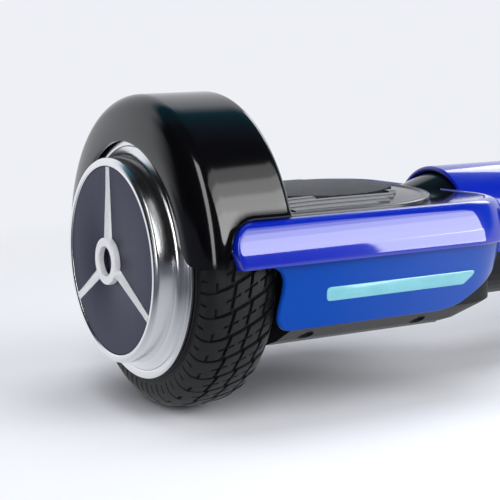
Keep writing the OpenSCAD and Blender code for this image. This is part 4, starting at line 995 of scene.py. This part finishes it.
def addCamera():
    s = cameraSet
    az, el, roll = (radians(s[key]) for key in ("azimuth", "elevation", "roll"))
    back = Vector((sin(az) * cos(el), -cos(az) * cos(el), sin(el)))
    right = Vector((cos(az), sin(az), 0))
    up = back.cross(right)
    rolledRight = right * cos(roll) + up * sin(roll)
    rolledUp = up * cos(roll) - right * sin(roll)
    data = bpy.data.cameras.new("camera")
    data.sensor_width = s["sensor"]
    data.lens = s["sensor"] * s["focalPixels"] / s["framePixels"]
    camera = link("camera", data)
    turn = Matrix((rolledRight, rolledUp, back)).transposed().to_4x4()
    camera.matrix_world = Matrix.Translation(Vector(s["place"]) * mm) @ turn
    bpy.context.scene.camera = camera


studio = {
    "paper": paint(238, 240, 245), "ambient": 0.3,
    "floorSize": 12.0, "floorFade": (0.3, 0.8),  # metres over which the floor fades into the backdrop
    "mirrorFloor": 0.9,  # how far the floor is plain paper in mirrors
    "lights": {  # place and aim in mm, width, height, power in watts, seen in mirrors, lights matt things
        "stripLight": ((-948, -1000, 860), (-265, -60, 120), 400, 1900, 10.0, True, True),
        "backSoftbox": ((989, 623, 997), (-40, -20, 115), 600, 450, 3.0, True, True),
        "cornerCard": ((220, -480, 118), (-130, -92, 92), 220, 222, 0.95, True, False),
        "topFill": ((0, 100, 1500), (0, 0, 80), 1400, 900, 10, False, True),
    },
    # The key light is a stack of softboxes, brightest low down: mm, degrees, watts from the lowest up
    "stackAim": (-215, -80, 105), "stackAway": 1600, "stackTurn": 33, "stackLow": 13, "stackStep": 8.8,
    "stackWidth": 1100, "stackPower": (5.3, 5.1, 4.0, 2.4, 1.1),
    # In mirrors the paper ends this far in front of the board and to its left
    "paperEnd": (0.33, 0.42), "paperRight": (0.34, 0.16), "paperLeft": (0.2, 0.5),
    "darkRoom": paint(84, 86, 96), "wallLeft": (-0.05, 0.2), "leftLean": 0.8,
    # The paper wall, tallest at the back, fades up into a teal and then a dark ceiling
    "wallLean": 0.6, "wall": (0.05, 0.95),
    "wallStops": ((0.0, paint(238, 240, 245)), (0.25, paint(225, 230, 238)), (0.45, paint(16, 104, 122)),
                  (0.78, paint(45, 66, 83)), (0.95, paint(8, 12, 16))),
}


def addLights():
    s = studio
    lights = dict(s["lights"])
    turn, step = radians(s["stackTurn"]), s["stackStep"]
    for k, power in enumerate(s["stackPower"]):
        rise = radians(s["stackLow"] + (k + 0.5) * step)
        way = Vector((cos(rise) * sin(turn), -cos(rise) * cos(turn), sin(rise)))
        height = s["stackAway"] * 2 * tan(radians(step / 2))
        aim, width = s["stackAim"], s["stackWidth"]
        place = Vector(aim) + way * s["stackAway"]
        lights["keySoftbox" + str(k)] = (place, aim, width, height, power, True, True)
    for name, (place, aim, width, height, power, mirrored, matt) in lights.items():
        data = bpy.data.lights.new(name, "AREA")
        data.shape, data.size, data.size_y, data.energy = "RECTANGLE", width * mm, height * mm, power
        light = link(name, data)
        place, aim = Vector(place) * mm, Vector(aim) * mm
        turn = (place - aim).to_track_quat("Z", "Y").to_matrix().to_4x4()
        light.matrix_world = Matrix.Translation(place) @ turn
        light.visible_camera, light.visible_glossy, light.visible_diffuse = False, mirrored, matt


def seenRays(f):  # 1 where the camera looks, directly or through a mirror or glass
    path = f.node("LightPath").socket.node
    seen = [Value(f, path.outputs[key]) for key in ("Is Camera Ray", "Is Glossy Ray", "Is Transmission Ray")]
    return seen[0].math("MINIMUM", seen[0] + seen[1] + seen[2], 1.0), seen[0]


def addBackdrop():
    s = studio
    world = bpy.data.worlds.new("studioWorld")
    bpy.context.scene.world = world
    w = Finish("studioWorld", world)
    seen, camera = seenRays(w)
    way = w.node("TexCoord", out="Generated")
    x, y, z = w.parts(way)
    height = w.spread(z - y * s["wallLean"], *s["wall"])
    wall = w.node("ValToRGB", {0: height})
    stops = wall.socket.node.color_ramp.elements
    while len(stops) < len(s["wallStops"]):
        stops.new(0.5)
    for stop, (position, colour) in zip(stops, s["wallStops"]):
        stop.position, stop.color = position, colour
    left = w.spread(0 - x - y * s["leftLean"], *s["wallLeft"])
    wall = w.mix(left, wall, s["wallStops"][-1][1])
    mirrored = w.mix(camera, wall, s["paper"])
    shown = w.node("Background", {"Color": mirrored, "Strength": 1.0})
    glow = w.node("Background", {"Color": s["paper"], "Strength": s["ambient"]})
    both = w.node("MixShader", {0: seen, 1: glow, 2: shown})
    w.node("OutputWorld", {"Surface": both})

    size = s["floorSize"]
    mesh = bpy.data.meshes.new("floor")
    corners = [(-size, -size, 0), (size, -size, 0), (size, size, 0), (-size, size, 0)]
    mesh.from_pydata(corners, [], [(0, 1, 2, 3)])
    floor = link("floor", mesh)
    f = Finish("paperFloor")
    seen, camera = seenRays(f)
    x, y, z = f.parts()
    away = f.spread((x * x + y * y) ** 0.5, *s["floorFade"])
    matt = f.node("BsdfDiffuse", {"Color": s["paper"]})
    sheet = f.node("Emission", {"Color": s["paper"], "Strength": 1.0})
    mirrored = away.math("MAXIMUM", away, (seen - camera) * s["mirrorFloor"])
    both = f.node("MixShader", {0: mirrored * seen, 1: matt, 2: sheet})
    front = f.spread(0 - y, *s["paperEnd"]) * f.spread(x, *s["paperRight"])
    left = f.spread(0 - x - y * s["leftLean"], *s["paperLeft"])
    room = f.node("Emission", {"Color": s["darkRoom"], "Strength": 1.0})
    beyond = front.math("MAXIMUM", front, left) * (seen - camera)
    both = f.node("MixShader", {0: beyond, 1: both, 2: room})
    f.node("OutputMaterial", {"Surface": both})
    mesh.materials.append(f.material)


addCamera()
addLights()
addBackdrop()
bpy.context.scene.view_settings.view_transform = "Standard"
print("studio ready")
